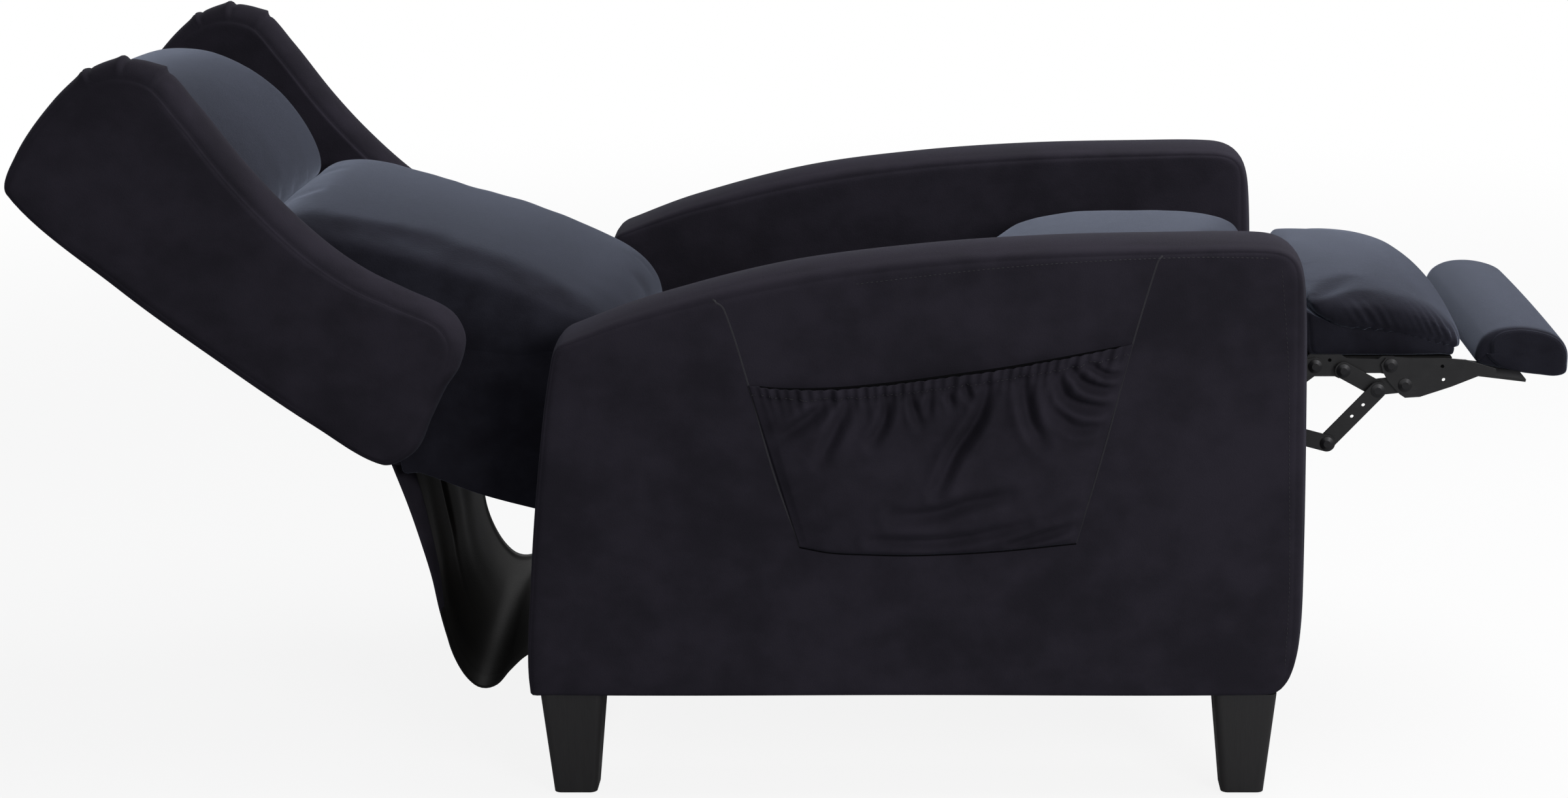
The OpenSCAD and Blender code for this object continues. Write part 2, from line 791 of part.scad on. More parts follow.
function in_back(p) =
    let (d = p - back_origin, c = cos(back_slope), q = sin(back_slope))
    [d[0] * c - d[1] * q, d[0] * q + d[1] * c];

bracket_bolts_at = [[580, 128], [630, 140]];

module back_bracket(side) {
    color([0.13, 0.13, 0.14]) turned_in_back()
        mirror([0, side, 0]) translate([0, -back_half_w, 0])
            rotate([90, 0, 0]) linear_extrude(bracket_y + bar_t - back_half_w)
                difference() {
                    polygon(bracket_outline);
                    holes_at([in_back(back_pivot), in_back(recline_pivot)],
                        rivet_r);
                    holes_at(bracket_bolts_at, rivet_r);
                }
}

// The back's pivot pins and, below them, the studs that face the recline links
module back_rivets() {
    back = bracket_y + bar_t;
    color([0.3, 0.3, 0.31]) {
        both_sides() {
            rivet(back_pivot, back_half_w, rail_y + bar_t + head_gap);
            long_pin(recline_pivot, back_half_w, swing_y - layer_gap,
                back, swing_y - layer_gap);
        }
        turned_in_back() both_sides() for (p = bracket_bolts_at)
            translate([p[0], -back_half_w, p[1]]) rotate([90, 0, 0])
                cylinder(r = rivet_r, h = back - back_half_w);
    }
}

/* Footrest */

module upper_links() {
    color([0.13, 0.13, 0.14])
        bar_pair(upper_pivot, ottoman_pivot, link_y,
            [upper_pivot, ottoman_pivot]);
}

module lower_links() {
    color([0.13, 0.13, 0.14]) both_sides() plate(RIGHT, lower_y, bar_t)
        difference() {
            bar_shape(lower_pivot, lower_knee, bar_r);
            holes_at([lower_pivot], rivet_r + rivet_gap);
            holes_at([lower_knee], rivet_r);
        }
}

// The knee is the footrest's open pivot: its rivet stays in the lower link
module lower_link_rivets() {
    color([0.3, 0.3, 0.31]) both_sides()
        rivet(lower_knee, lower_y, lower_y + bar_t);
}

ottoman_board_start = 532;
ottoman_board_long = 168;
ottoman_board_x = [
    ottoman_board_start, ottoman_board_start + ottoman_board_long
];
ottoman_board_z = 443;
flap_board_start = 734;
flap_board_long = 90;
flap_board_x = [flap_board_start, flap_board_start + flap_board_long];
flap_board_z = 440;
flap_tilt = 7;
bracket_flange = 52;

module board(x, z, half_w, tilt = 0) {
    color([0.20, 0.20, 0.22]) translate([x[0], -half_w, z])
        rotate([0, tilt, 0]) cube([x[1] - x[0], 2 * half_w, board_t]);
}

module ottoman_pad() {
    color([0.38, 0.40, 0.44])
        stuffed(ottoman_outline, -ottoman_half_w, ottoman_half_w,
            ottoman_round, ottoman_crown_share, 3,
            front_share = ottoman_front_share);
}

ottoman_bracket_outline = [
    [540, 440], [541, 430], [550, 437], [572, 437], [576, 435],
    [584, 435], [590, 438], [592, 441], [600, 440.6], [621, 440.6],
    [626, 439.6], [636, 440.6], [642, 446], [642, 455], [635, 459],
    [622, 459], [618, 456], [584, 457], [578, 461], [544, 461], [540, 456]
];

ottoman_spare_hole = [566, 455];
ottoman_flange_x = [556, 574];

module ottoman_bracket(side) {
    color([0.13, 0.13, 0.14]) {
        plate(side, rail_y, bar_t) difference() {
            polygon(ottoman_bracket_outline);
            holes_at([ottoman_pivot, flap_pivot, crank_pivot], rivet_r);
            holes_at([ottoman_spare_hole], rivet_r / 2);
        }
        mirror([0, side, 0])
            translate([ottoman_flange_x[0], -rail_y,
                ottoman_board_z - bar_t])
                cube([ottoman_flange_x[1] - ottoman_flange_x[0],
                    bracket_flange, bar_t]);
    }
}

module ottoman_rivets() {
    face = rail_y + bar_t;
    color([0.3, 0.3, 0.31]) both_sides() {
        rivet(ottoman_pivot, rail_y, link_y + bar_t + head_gap);
        rivet(flap_pivot, rail_y, link_y + bar_t + head_gap);
        rivet(crank_pivot, rail_y, crank_y + bar_t + head_gap,
            face, crank_y - head_gap);
    }
}

module flap_cranks() {
    color([0.13, 0.13, 0.14]) both_sides() plate(RIGHT, crank_y, bar_t)
        difference() {
            bar_shape(crank_pivot, crank_end, bar_r);
            holes_at([crank_pivot], rivet_r + rivet_gap);
            holes_at([crank_end], rivet_r);
        }
}

// One rivet through three bars: the crank, the riser and the short flap link
module crank_rivets() {
    color([0.3, 0.3, 0.31]) both_sides()
        rivet(crank_end, rail_y, riser_y + bar_t + head_gap,
            crank_y + bar_t, riser_y - head_gap, low_head_h);
}

module flap_links() {
    color([0.13, 0.13, 0.14])
        bar_pair(crank_end, flap_link_end, rail_y, [crank_end]);
}

riser_holes_share = [0.50, 0.72];

module riser_links() {
    d = lower_knee - crank_end;
    color([0.13, 0.13, 0.14]) both_sides() plate(RIGHT, riser_y, bar_t)
        difference() {
            bar_shape(crank_end, lower_knee, bar_r);
            holes_at([crank_end], rivet_r + rivet_gap);
            for (q = riser_holes_share)
                translate(crank_end + d * (1 - q))
                    circle(rivet_r / 2);
        }
}

module flap_pad() {
    color([0.30, 0.32, 0.37])
        stuffed(flap_outline, -flap_half_w, flap_half_w, flap_round,
            0, 3);
}

flap_bracket_outline = [
    [642, 418], [648, 414], [664, 415], [698, 426.5], [727, 438.4],
    [745, 436.4], [745, 446], [712, 456], [690, 457.5], [650, 458],
    [636, 459], [626, 458], [621, 451], [623, 443], [628, 434]
];
flap_bolts_at = [[687, 449], [689, 434]];

module flap_bracket(side) {
    color([0.13, 0.13, 0.14]) {
        plate(side, link_y, bar_t) difference() {
            polygon(flap_bracket_outline);
            holes_at([flap_pivot], rivet_r + rivet_gap);
            holes_at([flap_link_end], rivet_r);
            holes_at(flap_bolts_at, rivet_r / 2);
        }
        mirror([0, side, 0])
            translate([flap_board_x[0], -link_y - bar_t, flap_board_z])
                rotate([0, flap_tilt, 0])
                    translate([-flap_flange_start, 0, -bar_t])
                        cube([flap_flange_long, flap_flange_w, bar_t]);
    }
}

flap_flange_start = 10;
flap_flange_long = 54;
flap_flange_w = 62;

module flap_rivets() {
    color([0.3, 0.3, 0.31]) both_sides()
        rivet(flap_link_end, link_y, link_y + bar_t);
}

arm_cover(RIGHT);  // right_arm_cover
arm_cover(LEFT);  // left_arm_cover
arm_frame(RIGHT);  // right_arm_frame
arm_frame(LEFT);  // left_arm_frame
right_arm_pocket();
cross_rail(middle_rail_at, middle_rail_h);  // middle_rail
cross_rail(rear_rail_at, rear_rail_h);  // rear_rail
leg(RIGHT, front_leg_x);  // right_front_leg
leg(LEFT, front_leg_x);  // left_front_leg
leg(RIGHT, rear_leg_x);  // right_rear_leg
leg(LEFT, rear_leg_x);  // left_rear_leg
leg_bolts();
leg_glides();
base_rail(RIGHT);  // right_base_rail
base_rail(LEFT);  // left_base_rail
base_rail_bolts();
base_rivets();
rear_sling();
rear_swing_links();
front_swing_links();
recline_links();
seat_frame();
seat_front_board();
seat_springs();
seat_cushion();
seat_rail(RIGHT);  // right_seat_rail
seat_rail(LEFT);  // left_seat_rail
seat_cross_tube();
seat_rivets();
back_frame();
back_panel();
wing(RIGHT);  // right_wing
wing(LEFT);  // left_wing
head_cushion();
lumbar_cushion();
back_straps();
back_bracket(RIGHT);  // right_back_bracket
back_bracket(LEFT);  // left_back_bracket
back_rivets();
upper_links();
lower_links();
lower_link_rivets();
board(ottoman_board_x, ottoman_board_z, ottoman_half_w);  // ottoman_board
ottoman_pad();
ottoman_bracket(RIGHT);  // right_ottoman_bracket
ottoman_bracket(LEFT);  // left_ottoman_bracket
ottoman_rivets();
flap_cranks();
crank_rivets();
flap_links();
riser_links();
board(flap_board_x, flap_board_z, flap_half_w - flap_round, flap_tilt);  // flap_board
flap_pad();
flap_bracket(RIGHT);  // right_flap_bracket
flap_bracket(LEFT);  // left_flap_bracket
flap_rivets();
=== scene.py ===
# %% [markdown]
# # A wingback recliner, leaned back with its footrest out
# The imported CAD model is a fixed frame: steel, timber and plain solids in
# their true places. This lesson dresses it. Cloth covers, seams, folds and
# finishes are made here, and every piece but the rear sling rides on the CAD
# body that carries it.

import json
import math

import bpy
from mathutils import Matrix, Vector
from mathutils.bvhtree import BVHTree
from mathutils.kdtree import KDTree


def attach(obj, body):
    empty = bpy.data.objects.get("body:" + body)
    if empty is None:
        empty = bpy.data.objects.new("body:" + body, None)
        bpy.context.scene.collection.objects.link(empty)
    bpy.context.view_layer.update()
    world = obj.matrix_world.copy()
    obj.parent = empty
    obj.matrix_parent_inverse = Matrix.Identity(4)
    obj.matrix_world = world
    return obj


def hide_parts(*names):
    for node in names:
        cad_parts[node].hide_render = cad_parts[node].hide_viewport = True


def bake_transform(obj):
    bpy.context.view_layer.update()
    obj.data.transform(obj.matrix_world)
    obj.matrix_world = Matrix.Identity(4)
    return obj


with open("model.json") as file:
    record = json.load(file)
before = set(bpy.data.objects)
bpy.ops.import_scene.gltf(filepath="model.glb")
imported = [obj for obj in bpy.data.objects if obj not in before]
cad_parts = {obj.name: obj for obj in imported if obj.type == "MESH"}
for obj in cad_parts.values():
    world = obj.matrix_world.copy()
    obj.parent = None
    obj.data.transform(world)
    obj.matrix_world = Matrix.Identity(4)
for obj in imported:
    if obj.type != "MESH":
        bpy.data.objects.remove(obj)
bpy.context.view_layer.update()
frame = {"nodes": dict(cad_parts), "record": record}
nodes = frame["nodes"]

# %% [markdown]
# ## Camera
# The photograph is a side view from a little above. A long lens far away keeps
# the chair nearly free of perspective. The small sideways shift frames it as
# the photograph does without turning the camera.

# %% Camera
CAMERA_AT = (0.145, -3.336, 1.205)
LOOKS_DOWN = 14.29  # degrees
SENSOR_MM, LENS_MM = 36, 68.28
SIDE_SHIFT = -0.09875  # of the picture's width

scene = bpy.context.scene
camera_data = bpy.data.cameras.new("camera")
camera = bpy.data.objects.new("camera", camera_data)
scene.collection.objects.link(camera)
scene.camera = camera
camera.location = CAMERA_AT
camera.rotation_euler = (math.radians(90 - LOOKS_DOWN), 0, 0)
camera_data.sensor_width = SENSOR_MM
camera_data.lens = LENS_MM
camera_data.shift_x = SIDE_SHIFT
scene.view_settings.view_transform = "Standard"
print("camera at", tuple(camera.location))

# %% [markdown]
# ## Shader sums written as Python
# A material is a tree of nodes. One small class stands for a wire between
# nodes, so 1 - mask or a * b adds the Math node by itself, and one method adds
# any other node: its type, its settings, then its sockets.

# %% Wires and finishes


class Wire:
    """An output socket that can be used in sums."""

    def __init__(self, finish, socket):
        self.finish, self.socket = finish, socket

    def math(self, operation, a, b):
        return self.finish.node("ShaderNodeMath", {"operation": operation},
                                {0: a, 1: b})

    def __add__(self, other):
        return self.math("ADD", self, other)

    def __sub__(self, other):
        return self.math("SUBTRACT", self, other)

    def __rsub__(self, other):
        return self.math("SUBTRACT", other, self)

    def __mul__(self, other):
        return self.math("MULTIPLY", self, other)

    def above(self, edge, soft):
        """0 below the edge, 1 above it, with a soft step between."""
        return self.finish.node(
            "ShaderNodeMapRange", {"interpolation_type": "SMOOTHSTEP"},
            {"Value": self, "From Min": edge - soft, "From Max": edge + soft})

    __radd__, __rmul__ = __add__, __mul__


class Finish:
    """One material, or a world, and the node tree behind it."""

    def __init__(self, name, world=None):
        self.material = world or bpy.data.materials.new(name)
        self.material.use_nodes = True
        self.tree = self.material.node_tree
        self.tree.nodes.clear()

    def node(self, kind, settings=None, sockets=None, output=0):
        made = self.tree.nodes.new(kind)
        for key, value in (settings or {}).items():
            setattr(made, key, value)
        for key, value in (sockets or {}).items():
            if isinstance(value, Wire):
                self.tree.links.new(value.socket, made.inputs[key])
            else:
                made.inputs[key].default_value = value
        return None if output is None else Wire(self, made.outputs[output])

    def place(self, stretch=(1, 1, 1), turn=(0, 0, 0)):
        """Where a point lies on its own piece, in metres."""
        at = self.node("ShaderNodeTexCoord", output=3)
        return self.node("ShaderNodeMapping", {},
                         {"Vector": at, "Scale": stretch, "Rotation": turn})

    def noise(self, scale, detail=2.0, roughness=0.5, at=None):
        return self.node("ShaderNodeTexNoise", {},
                         {"Vector": at or self.place(), "Scale": scale,
                          "Detail": detail, "Roughness": roughness})

    def mix(self, share, a, b):
        """A colour between a and b."""
        return self.node("ShaderNodeMix", {"data_type": "RGBA"},
                         {0: share, 6: a, 7: b}, output=2)

    def bump(self, height, strength, distance, under=None):
        sockets = {"Strength": strength, "Distance": distance,
                   "Height": height}
        if under:
            sockets["Normal"] = under
        return self.node("ShaderNodeBump", {}, sockets)

    def done(self, **sockets):
        """Ends the tree in a Principled shader and returns the material."""
        sockets = {key.replace("_", " "): value
                   for key, value in sockets.items()}
        self.shade(self.node("ShaderNodeBsdfPrincipled", {}, sockets))
        return self.material

    def shade(self, shader, kind="ShaderNodeOutputMaterial"):
        self.node(kind, {}, {"Surface": shader}, output=None)


def paint(red, green, blue):
    """A screen colour of 0 to 255 as the linear colour a shader takes."""
    def linear(v):
        v /= 255
        return v / 12.92 if v <= 0.04045 else ((v + 0.055) / 1.055) ** 2.4
    return (linear(red), linear(green), linear(blue), 1)


print("a mid grey is", round(paint(128, 128, 128)[0], 3), "in linear light")

# %% [markdown]
# ## Floor and studio light
# A product photograph stands in white. The floor is pale, and the world is
# white where the camera or a reflection looks at it. What lights the chair is
# plainer: a dim even sky, a large soft lamp overhead, so that the tops of the
# cushions are light and the upright sides stay dark, and one fill lamp in
# front, which draws the folds.

# %% Floor
FLOOR_HALF = 14.0  # metres
SHADOW_SHARE = 0.12
SHADOW_FADE = 0.22  # one over the distance in metres where it has faded
PURE_WHITE = (1, 1, 1, 1)

floor_mesh = bpy.data.meshes.new("floor")
floor_mesh.from_pydata(
    [(x * FLOOR_HALF, y * FLOOR_HALF, 0)
     for x, y in ((-1, -1), (1, -1), (1, 1), (-1, 1))], [], [(0, 1, 2, 3)])
floor = bpy.data.objects.new("floor", floor_mesh)
scene.collection.objects.link(floor)

pale = Finish("floor_pale")
looked_at = pale.node("ShaderNodeLightPath")
far_off = pale.node("ShaderNodeTexGradient",
                    {"gradient_type": "SPHERICAL"},
                    {"Vector": pale.place((SHADOW_FADE,) * 3)}, output=1)
near = far_off.above(0.35, 0.3)
matte = pale.node("ShaderNodeBsdfDiffuse", {}, {
    "Color": pale.mix(looked_at, (0.45, 0.45, 0.46, 1), PURE_WHITE)})
glow = pale.node("ShaderNodeEmission", {},
                 {"Color": PURE_WHITE, "Strength": 1.0})
pale.shade(pale.node(
    "ShaderNodeMixShader", {},
    {0: looked_at * (1 - near * SHADOW_SHARE), 1: matte, 2: glow}))
floor_mesh.materials.append(pale.material)
print("a floor of", 2 * FLOOR_HALF, "metres, in", pale.material.name)

# %% World and lamps
SKY_LEVEL = 0.20
SKY_COLOUR = (0.93, 0.95, 1.0, 1)
world = bpy.data.worlds.new("studio")
scene.world = world
sky = Finish("studio", world)
seen, through, mirrored_in = (
    sky.node("ShaderNodeLightPath", output=f"Is {kind} Ray")
    for kind in ("Camera", "Transmission", "Glossy"))
looked_upon = seen.math("MAXIMUM", seen.math("MAXIMUM", seen, through),
                        mirrored_in)
dim = sky.node("ShaderNodeBackground", {},
               {"Color": SKY_COLOUR, "Strength": SKY_LEVEL})
white = sky.node("ShaderNodeBackground", {},
                 {"Color": PURE_WHITE, "Strength": 1.0})
sky.shade(sky.node("ShaderNodeMixShader", {},
                   {0: looked_upon, 1: dim, 2: white}),
          "ShaderNodeOutputWorld")


def soft_lamp(name, at, toward, size, power):
    """A large square lamp that looks from one place toward another."""
    data = bpy.data.lights.new(name, "AREA")
    data.shape, data.size, data.energy = "SQUARE", size, power
    lamp = bpy.data.objects.new(name, data)
    scene.collection.objects.link(lamp)
    lamp.location = at
    look = Vector(toward) - Vector(at)
    lamp.rotation_euler = look.to_track_quat("-Z", "Y").to_euler()


soft_lamp("overhead", at=(1.6, 0.3, 2.75), toward=(0.4, 0.0, 0.3), size=2.4,
          power=60)
soft_lamp("front_fill", at=(2.3, -3.6, 1.9), toward=(0.2, 0, 0.3), size=1.5,
          power=58)

# %% [markdown]
# ## Velvet
# Velvet is a short upright pile. It is dark where one looks into it, and light
# along the edges where one looks across the tips. The shader's sheen does
# that. The pile never lies quite even, so a cloudy noise makes the colour
# drift, and a very fine one stands for the single fibres.

# %% Velvet
MM = 0.001


def velvet(name, deep, light, sheen, spread, sheen_colour):
    """Velvet between two colours, with its nap in clouds."""
    cloth = Finish(name)
    clouds = cloth.noise(7, 3, 0.6)
    brushed = cloth.noise(36, 3, 0.6, cloth.place((0.6, 1.0, 0.7)))
    nap = clouds * 0.55 + brushed * 0.45
    fibre = cloth.noise(1500, 2, 0.6)
    speck = cloth.noise(520, 1, 0.5)
    tone = nap.above(0.5, 0.16)
    colour = cloth.mix(tone * 0.85 + speck * 0.15, deep, light)
    soft = cloth.bump(fibre + speck, 0.35, 0.0007)
    return cloth.done(
        Base_Color=colour, Roughness=0.78 + tone * 0.14, Normal=soft,
        Specular_IOR_Level=0.05, Sheen_Weight=sheen, Sheen_Roughness=spread,
        Sheen_Tint=sheen_colour)


velvet_dark = velvet("velvet_dark", paint(39, 37, 44), paint(53, 50, 59),
                     0.05, 0.25, (0.70, 0.78, 1.0, 1))
velvet_seat = velvet("velvet_seat", paint(28, 27, 34), paint(46, 46, 55),
                     0.68, 0.36, (0.64, 0.72, 0.92, 1))
# Painted shade: a near-black cloth for the shadow inside the pocket's mouth
# and in the seam at its foot
painted_shade_cloth = velvet("painted_shade_cloth", paint(8, 8, 10), paint(15, 14, 17),
                     0.0, 0.3, (1, 1, 1, 1))
print("velvets:", velvet_dark.name, velvet_seat.name)

# %% [markdown]
# ## The plainer finishes
# The back of the sling is a smooth black lining with a soft shine. The legs
# are painted wood with the grain showing through as fine lines. The mechanism
# is black enamelled steel, worn a little on its faces, with smoother rivets,
# and the frame inside is bare pine and plywood.

# %% Lining, wood and plastic


def lining_finish():
    cloth = Finish("backing_cloth")
    dimples = cloth.node("ShaderNodeTexVoronoi", {"feature": "F1"},
                         {"Vector": cloth.place(), "Scale": 420.0})
    cloud = cloth.noise(9, 3)
    colour = cloth.mix(cloud, paint(17, 17, 17), paint(30, 30, 30))
    return cloth.done(Base_Color=colour, Roughness=0.5 + cloud * 0.12,
                      Normal=cloth.bump(dimples, 0.25, 0.0004),
                      Specular_IOR_Level=0.14)


def painted_wood():
    wood = Finish("leg_wood")
    grain = wood.noise(55, 4, 0.6, wood.place((1.6, 1.6, 0.10)))
    pores = wood.noise(320, 2, 0.6, wood.place((1.0, 1.0, 0.06)))
    colour = wood.mix(grain, paint(16, 15, 16), paint(27, 26, 27))
    return wood.done(Base_Color=colour, Roughness=0.42 + pores * 0.18,
                     Normal=wood.bump(grain + pores, 0.35, 0.0006),
                     Coat_Weight=0.12, Coat_Roughness=0.35)


def bare_timber():
    wood = Finish("timber")
    wave = wood.noise(14, 4, 0.6, wood.place((0.35, 2.2, 2.2)))
    fine = wood.noise(160, 2, 0.6, wood.place((0.10, 1.0, 1.0)))
    colour = wood.mix(wave * 0.75 + fine * 0.25, paint(178, 138, 92),
                      paint(222, 190, 146))
    return wood.done(Base_Color=colour, Roughness=0.62 + fine * 0.18,
                     Normal=wood.bump(fine, 0.3, 0.0005))


def moulded_plastic():
    plastic = Finish("glide_plastic")
    grit = plastic.noise(700, 2)
    wear = plastic.noise(60, 3)
    colour = plastic.mix(wear, paint(40, 40, 41), paint(62, 61, 60))
    return plastic.done(Base_Color=colour, Roughness=0.48 + grit * 0.2,
                        Normal=plastic.bump(grit, 0.2, 0.0003))


leg_wood, timber = painted_wood(), bare_timber()
lining, glide_plastic = lining_finish(), moulded_plastic()
print("plain finishes:", leg_wood.name, timber.name, lining.name)

# %% Steel and webbing


def steel(name, dark, light, rough, metallic, scratch=0.2):
    """Painted or bare sheet steel, with faint rub marks along it."""
    metal = Finish(name)
    blotch = metal.noise(38, 3, 0.6)
    rub = metal.noise(260, 3, 0.65, metal.place((0.25, 1.0, 1.0)))
    worn = rub.above(0.66, 0.08)
    colour = metal.mix(blotch * 0.7 + worn * 0.3, dark, light)
    return metal.done(Base_Color=colour, Metallic=metallic,
                      Roughness=rough + blotch * 0.12 - worn * 0.08,
                      Normal=metal.bump(rub, scratch, 0.0003))


black_steel = steel("black_steel", paint(37, 37, 38), paint(58, 58, 59),
                    0.34, 0.55)
rivet_steel = steel("rivet_steel", paint(32, 32, 34), paint(58, 58, 60),
                    0.26, 0.6)
bright_steel = steel("bright_steel", paint(128, 130, 134),
                     paint(186, 187, 190), 0.25, 1.0)


def woven_webbing():
    web = Finish("webbing")
    across = web.node("ShaderNodeTexWave", {"bands_direction": "X"},
                      {"Vector": web.place(), "Scale": 190.0,
                       "Distortion": 0.6})
    along = web.node("ShaderNodeTexWave", {"bands_direction": "Y"},
                     {"Vector": web.place(), "Scale": 190.0,
                      "Distortion": 0.6})
    weave = across * along
    colour = web.mix(weave, paint(92, 86, 76), paint(150, 143, 130))
    return web.done(Base_Color=colour, Roughness=0.8 + weave * 0.1,
                    Normal=web.bump(weave, 0.5, 0.0008))


webbing = woven_webbing()
thread_finish = Finish("thread")
twist = thread_finish.node("ShaderNodeTexWave", {},
                           {"Vector": thread_finish.place(), "Scale": 900.0})
thread = thread_finish.done(
    Base_Color=thread_finish.mix(twist, paint(24, 23, 28), paint(40, 39, 46)),
    Roughness=0.6 + twist * 0.1)
print("steel, webbing and thread are ready")

# %% [markdown]
# ## Finishes on the CAD's own steel and timber
# Bars, rivets, legs and rails already have their true shape, so they stay. A
# small bevel rounds the edges, as a press or a sander leaves them, and each
# gets the finish of its slot in the part's record.

# %% Dress the CAD nodes
SLOT_FINISH = {
    "velvet_dark": velvet_dark, "velvet_seat": velvet_seat,
    "backing_cloth": lining, "timber": timber, "leg_wood": leg_wood,
    "glide_plastic": glide_plastic, "black_steel": black_steel,
    "rivet_steel": rivet_steel, "bright_steel": bright_steel,
}
EDGE_ROUND = {"leg_wood": 3.0, "timber": 2.0, "glide_plastic": 1.0,
              "black_steel": 0.5, "rivet_steel": 0.5, "bright_steel": 0.5}
SOFT_ROUND = 1.5
SHARP_EDGE = math.radians(35)


def dress(node, finish, edge_mm):
    """Gives a CAD node its finish and a small rounded edge."""
    slots = nodes[node].data.materials
    slots.clear()
    slots.append(finish)
    bevel = nodes[node].modifiers.new("edge", "BEVEL")
    bevel.width = edge_mm * MM
    bevel.segments = 2
    bevel.limit_method = "ANGLE"
    bevel.angle_limit = SHARP_EDGE
    bevel.harden_normals = True


print("finishes by slot:", len(SLOT_FINISH))

# %% [markdown]
# ## Curves and skins
# Upholstery is easiest to describe by a few points along each seam. A smooth
# closed curve runs through them, rows of such curves become the skin of a
# form, and every length is written in millimetres and turned to metres once.

# %% Curve helpers


def spline(points, closed, steps=12):
    """A smooth line through the points, with its speed even on both sides."""
    pts = [Vector(p) for p in points]
    n = len(pts)

    def at(i):
        return pts[i % n] if closed else pts[max(0, min(n - 1, i))]

    line = []
    for i in range(n if closed else n - 1):
        a, b, c, d = (at(i + k) for k in (-1, 0, 1, 2))
        span = (c - b).length
        leave = (c - a) / max((b - a).length + span, 1e-9) * span
        reach = (d - b) / max(span + (d - c).length, 1e-9) * span
        for k in range(steps):
            t = k / steps
            line.append(b * (2 * t**3 - 3 * t**2 + 1)
                        + leave * (t**3 - 2 * t**2 + t)
                        + c * (3 * t**2 - 2 * t**3)
                        + reach * (t**3 - t**2))
    line.append(pts[0] if closed else pts[-1])
    return line


def evenly(line, count):
    """count points at even steps along a line; the last end is included."""
    far = [0.0]
    for a, b in zip(line, line[1:]):
        far.append(far[-1] + (b - a).length)
    out, k = [], 0
    for i in range(count):
        want = far[-1] * i / (count - 1)
        while k < len(far) - 2 and far[k + 1] < want:
            k += 1
        gap = far[k + 1] - far[k]
        out.append(line[k].lerp(line[k + 1],
                                (want - far[k]) / gap if gap else 0.0))
    return out


def closed_curve(points, count):
    return evenly(spline(points, True), count + 1)[:-1]


def open_curve(points, count):
    return evenly(spline(points, False), count)


def outward(loop):
    """The unit direction that points out of a closed loop, at each point."""
    n = len(loop)
    area = sum(loop[i].x * loop[(i + 1) % n].y - loop[(i + 1) % n].x
               * loop[i].y for i in range(n))
    side = 1 if area > 0 else -1
    out = []
    for i in range(n):
        way = loop[(i + 1) % n] - loop[i - 1]
        out.append(Vector((way.y * side, -way.x * side)).normalized())
    return out


ring = closed_curve([(0, 0), (10, 0), (10, 10), (0, 10)], 16)
print("a test ring of", len(ring), "points")

# %% Mesh helpers
BACK_ORIGIN = Vector((-834, 642))
BACK_SLOPE = math.radians(39.4)


def upright(a, b):
    """Arms, seat and footrest are drawn in the room's own X and Z."""
    return a, b


def in_back(s, n):
    """The back is drawn along its rear face: s down it, n out from it."""
    down, out = math.cos(BACK_SLOPE), math.sin(BACK_SLOPE)
    return (BACK_ORIGIN.x + s * down + n * out,
            BACK_ORIGIN.y - s * out + n * down)


def along_back(at):
    """The other way round: the s and n of a point in millimetres."""
    d = Vector((at.x, at.z)) - BACK_ORIGIN
    down, out = math.cos(BACK_SLOPE), math.sin(BACK_SLOPE)
    return d.x * down - d.y * out, d.x * out + d.y * down


def make_piece(name, points, faces, finish):
    """A smooth-shaded mesh object; the points are in millimetres."""
    mesh = bpy.data.meshes.new(name)
    mesh.from_pydata([tuple(c * MM for c in p) for p in points], [], faces)
    mesh.update()
    mesh.polygons.foreach_set("use_smooth", [True] * len(mesh.polygons))
    mesh.materials.append(finish)
    piece = bpy.data.objects.new(name, mesh)
    scene.collection.objects.link(piece)
    return piece


def skin(name, rows, finish, tips=None, around=True):
    """A skin over rows of points, closed by a fan to each of two tips."""
    n = len(rows[0])
    points = [p for row in rows for p in row]
    faces = []
    for j in range(len(rows) - 1):
        for i in range(n if around else n - 1):
            a, b = j * n + i, j * n + (i + 1) % n
            faces.append((a, b, b + n, a + n))
    if tips:
        points += list(tips)
        first, last = len(points) - 2, len(points) - 1
        end = (len(rows) - 1) * n
        faces += [(first, (i + 1) % n, i) for i in range(n)]
        faces += [(last, end + i, end + (i + 1) % n) for i in range(n)]
    piece = make_piece(name, points, faces, finish)
    if tips:
        face_out(piece)
    return piece


def face_out(piece):
    """Turns a closed form's faces outward: its volume has to be positive."""
    mesh = piece.data
    volume = 0.0
    for poly in mesh.polygons:
        a, *rest = (mesh.vertices[i].co for i in poly.vertices)
        for b, c in zip(rest, rest[1:]):
            volume += a.dot(b.cross(c))
    if volume < 0:
        mesh.flip_normals()


def thicken(piece, thick, offset=0):
    """Gives a single sheet of faces the thickness of its cloth."""
    cloth = piece.modifiers.new("cloth", "SOLIDIFY")
    cloth.thickness, cloth.offset = thick * MM, offset
    return cloth


def mirrored(piece, name):
    """The same form on the sitter's other side."""
    mesh = piece.data.copy()
    for v in mesh.vertices:
        v.co.y = -v.co.y
    mesh.flip_normals()
    twin = bpy.data.objects.new(name, mesh)
    scene.collection.objects.link(twin)
    return twin


def rides(piece, body, replaces=()):
    """Says what carries the piece and what it stands for."""
    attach(piece, body)
    if replaces:
        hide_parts(*replaces)
    print(piece.name, "rides on", body, "with", len(piece.data.vertices),
          "points")


print("the back's rear face slopes", round(math.degrees(BACK_SLOPE), 1),
      "degrees")

# %% [markdown]
# ## Boxed forms
# An upholsterer cuts a side panel, a second side panel and a long band, and
# sews the band round both. This helper does the same: the outline is the
# band's fullest line, its third number says how far the seam lies inside it,
# and the skin dips into a groove where the pieces meet.

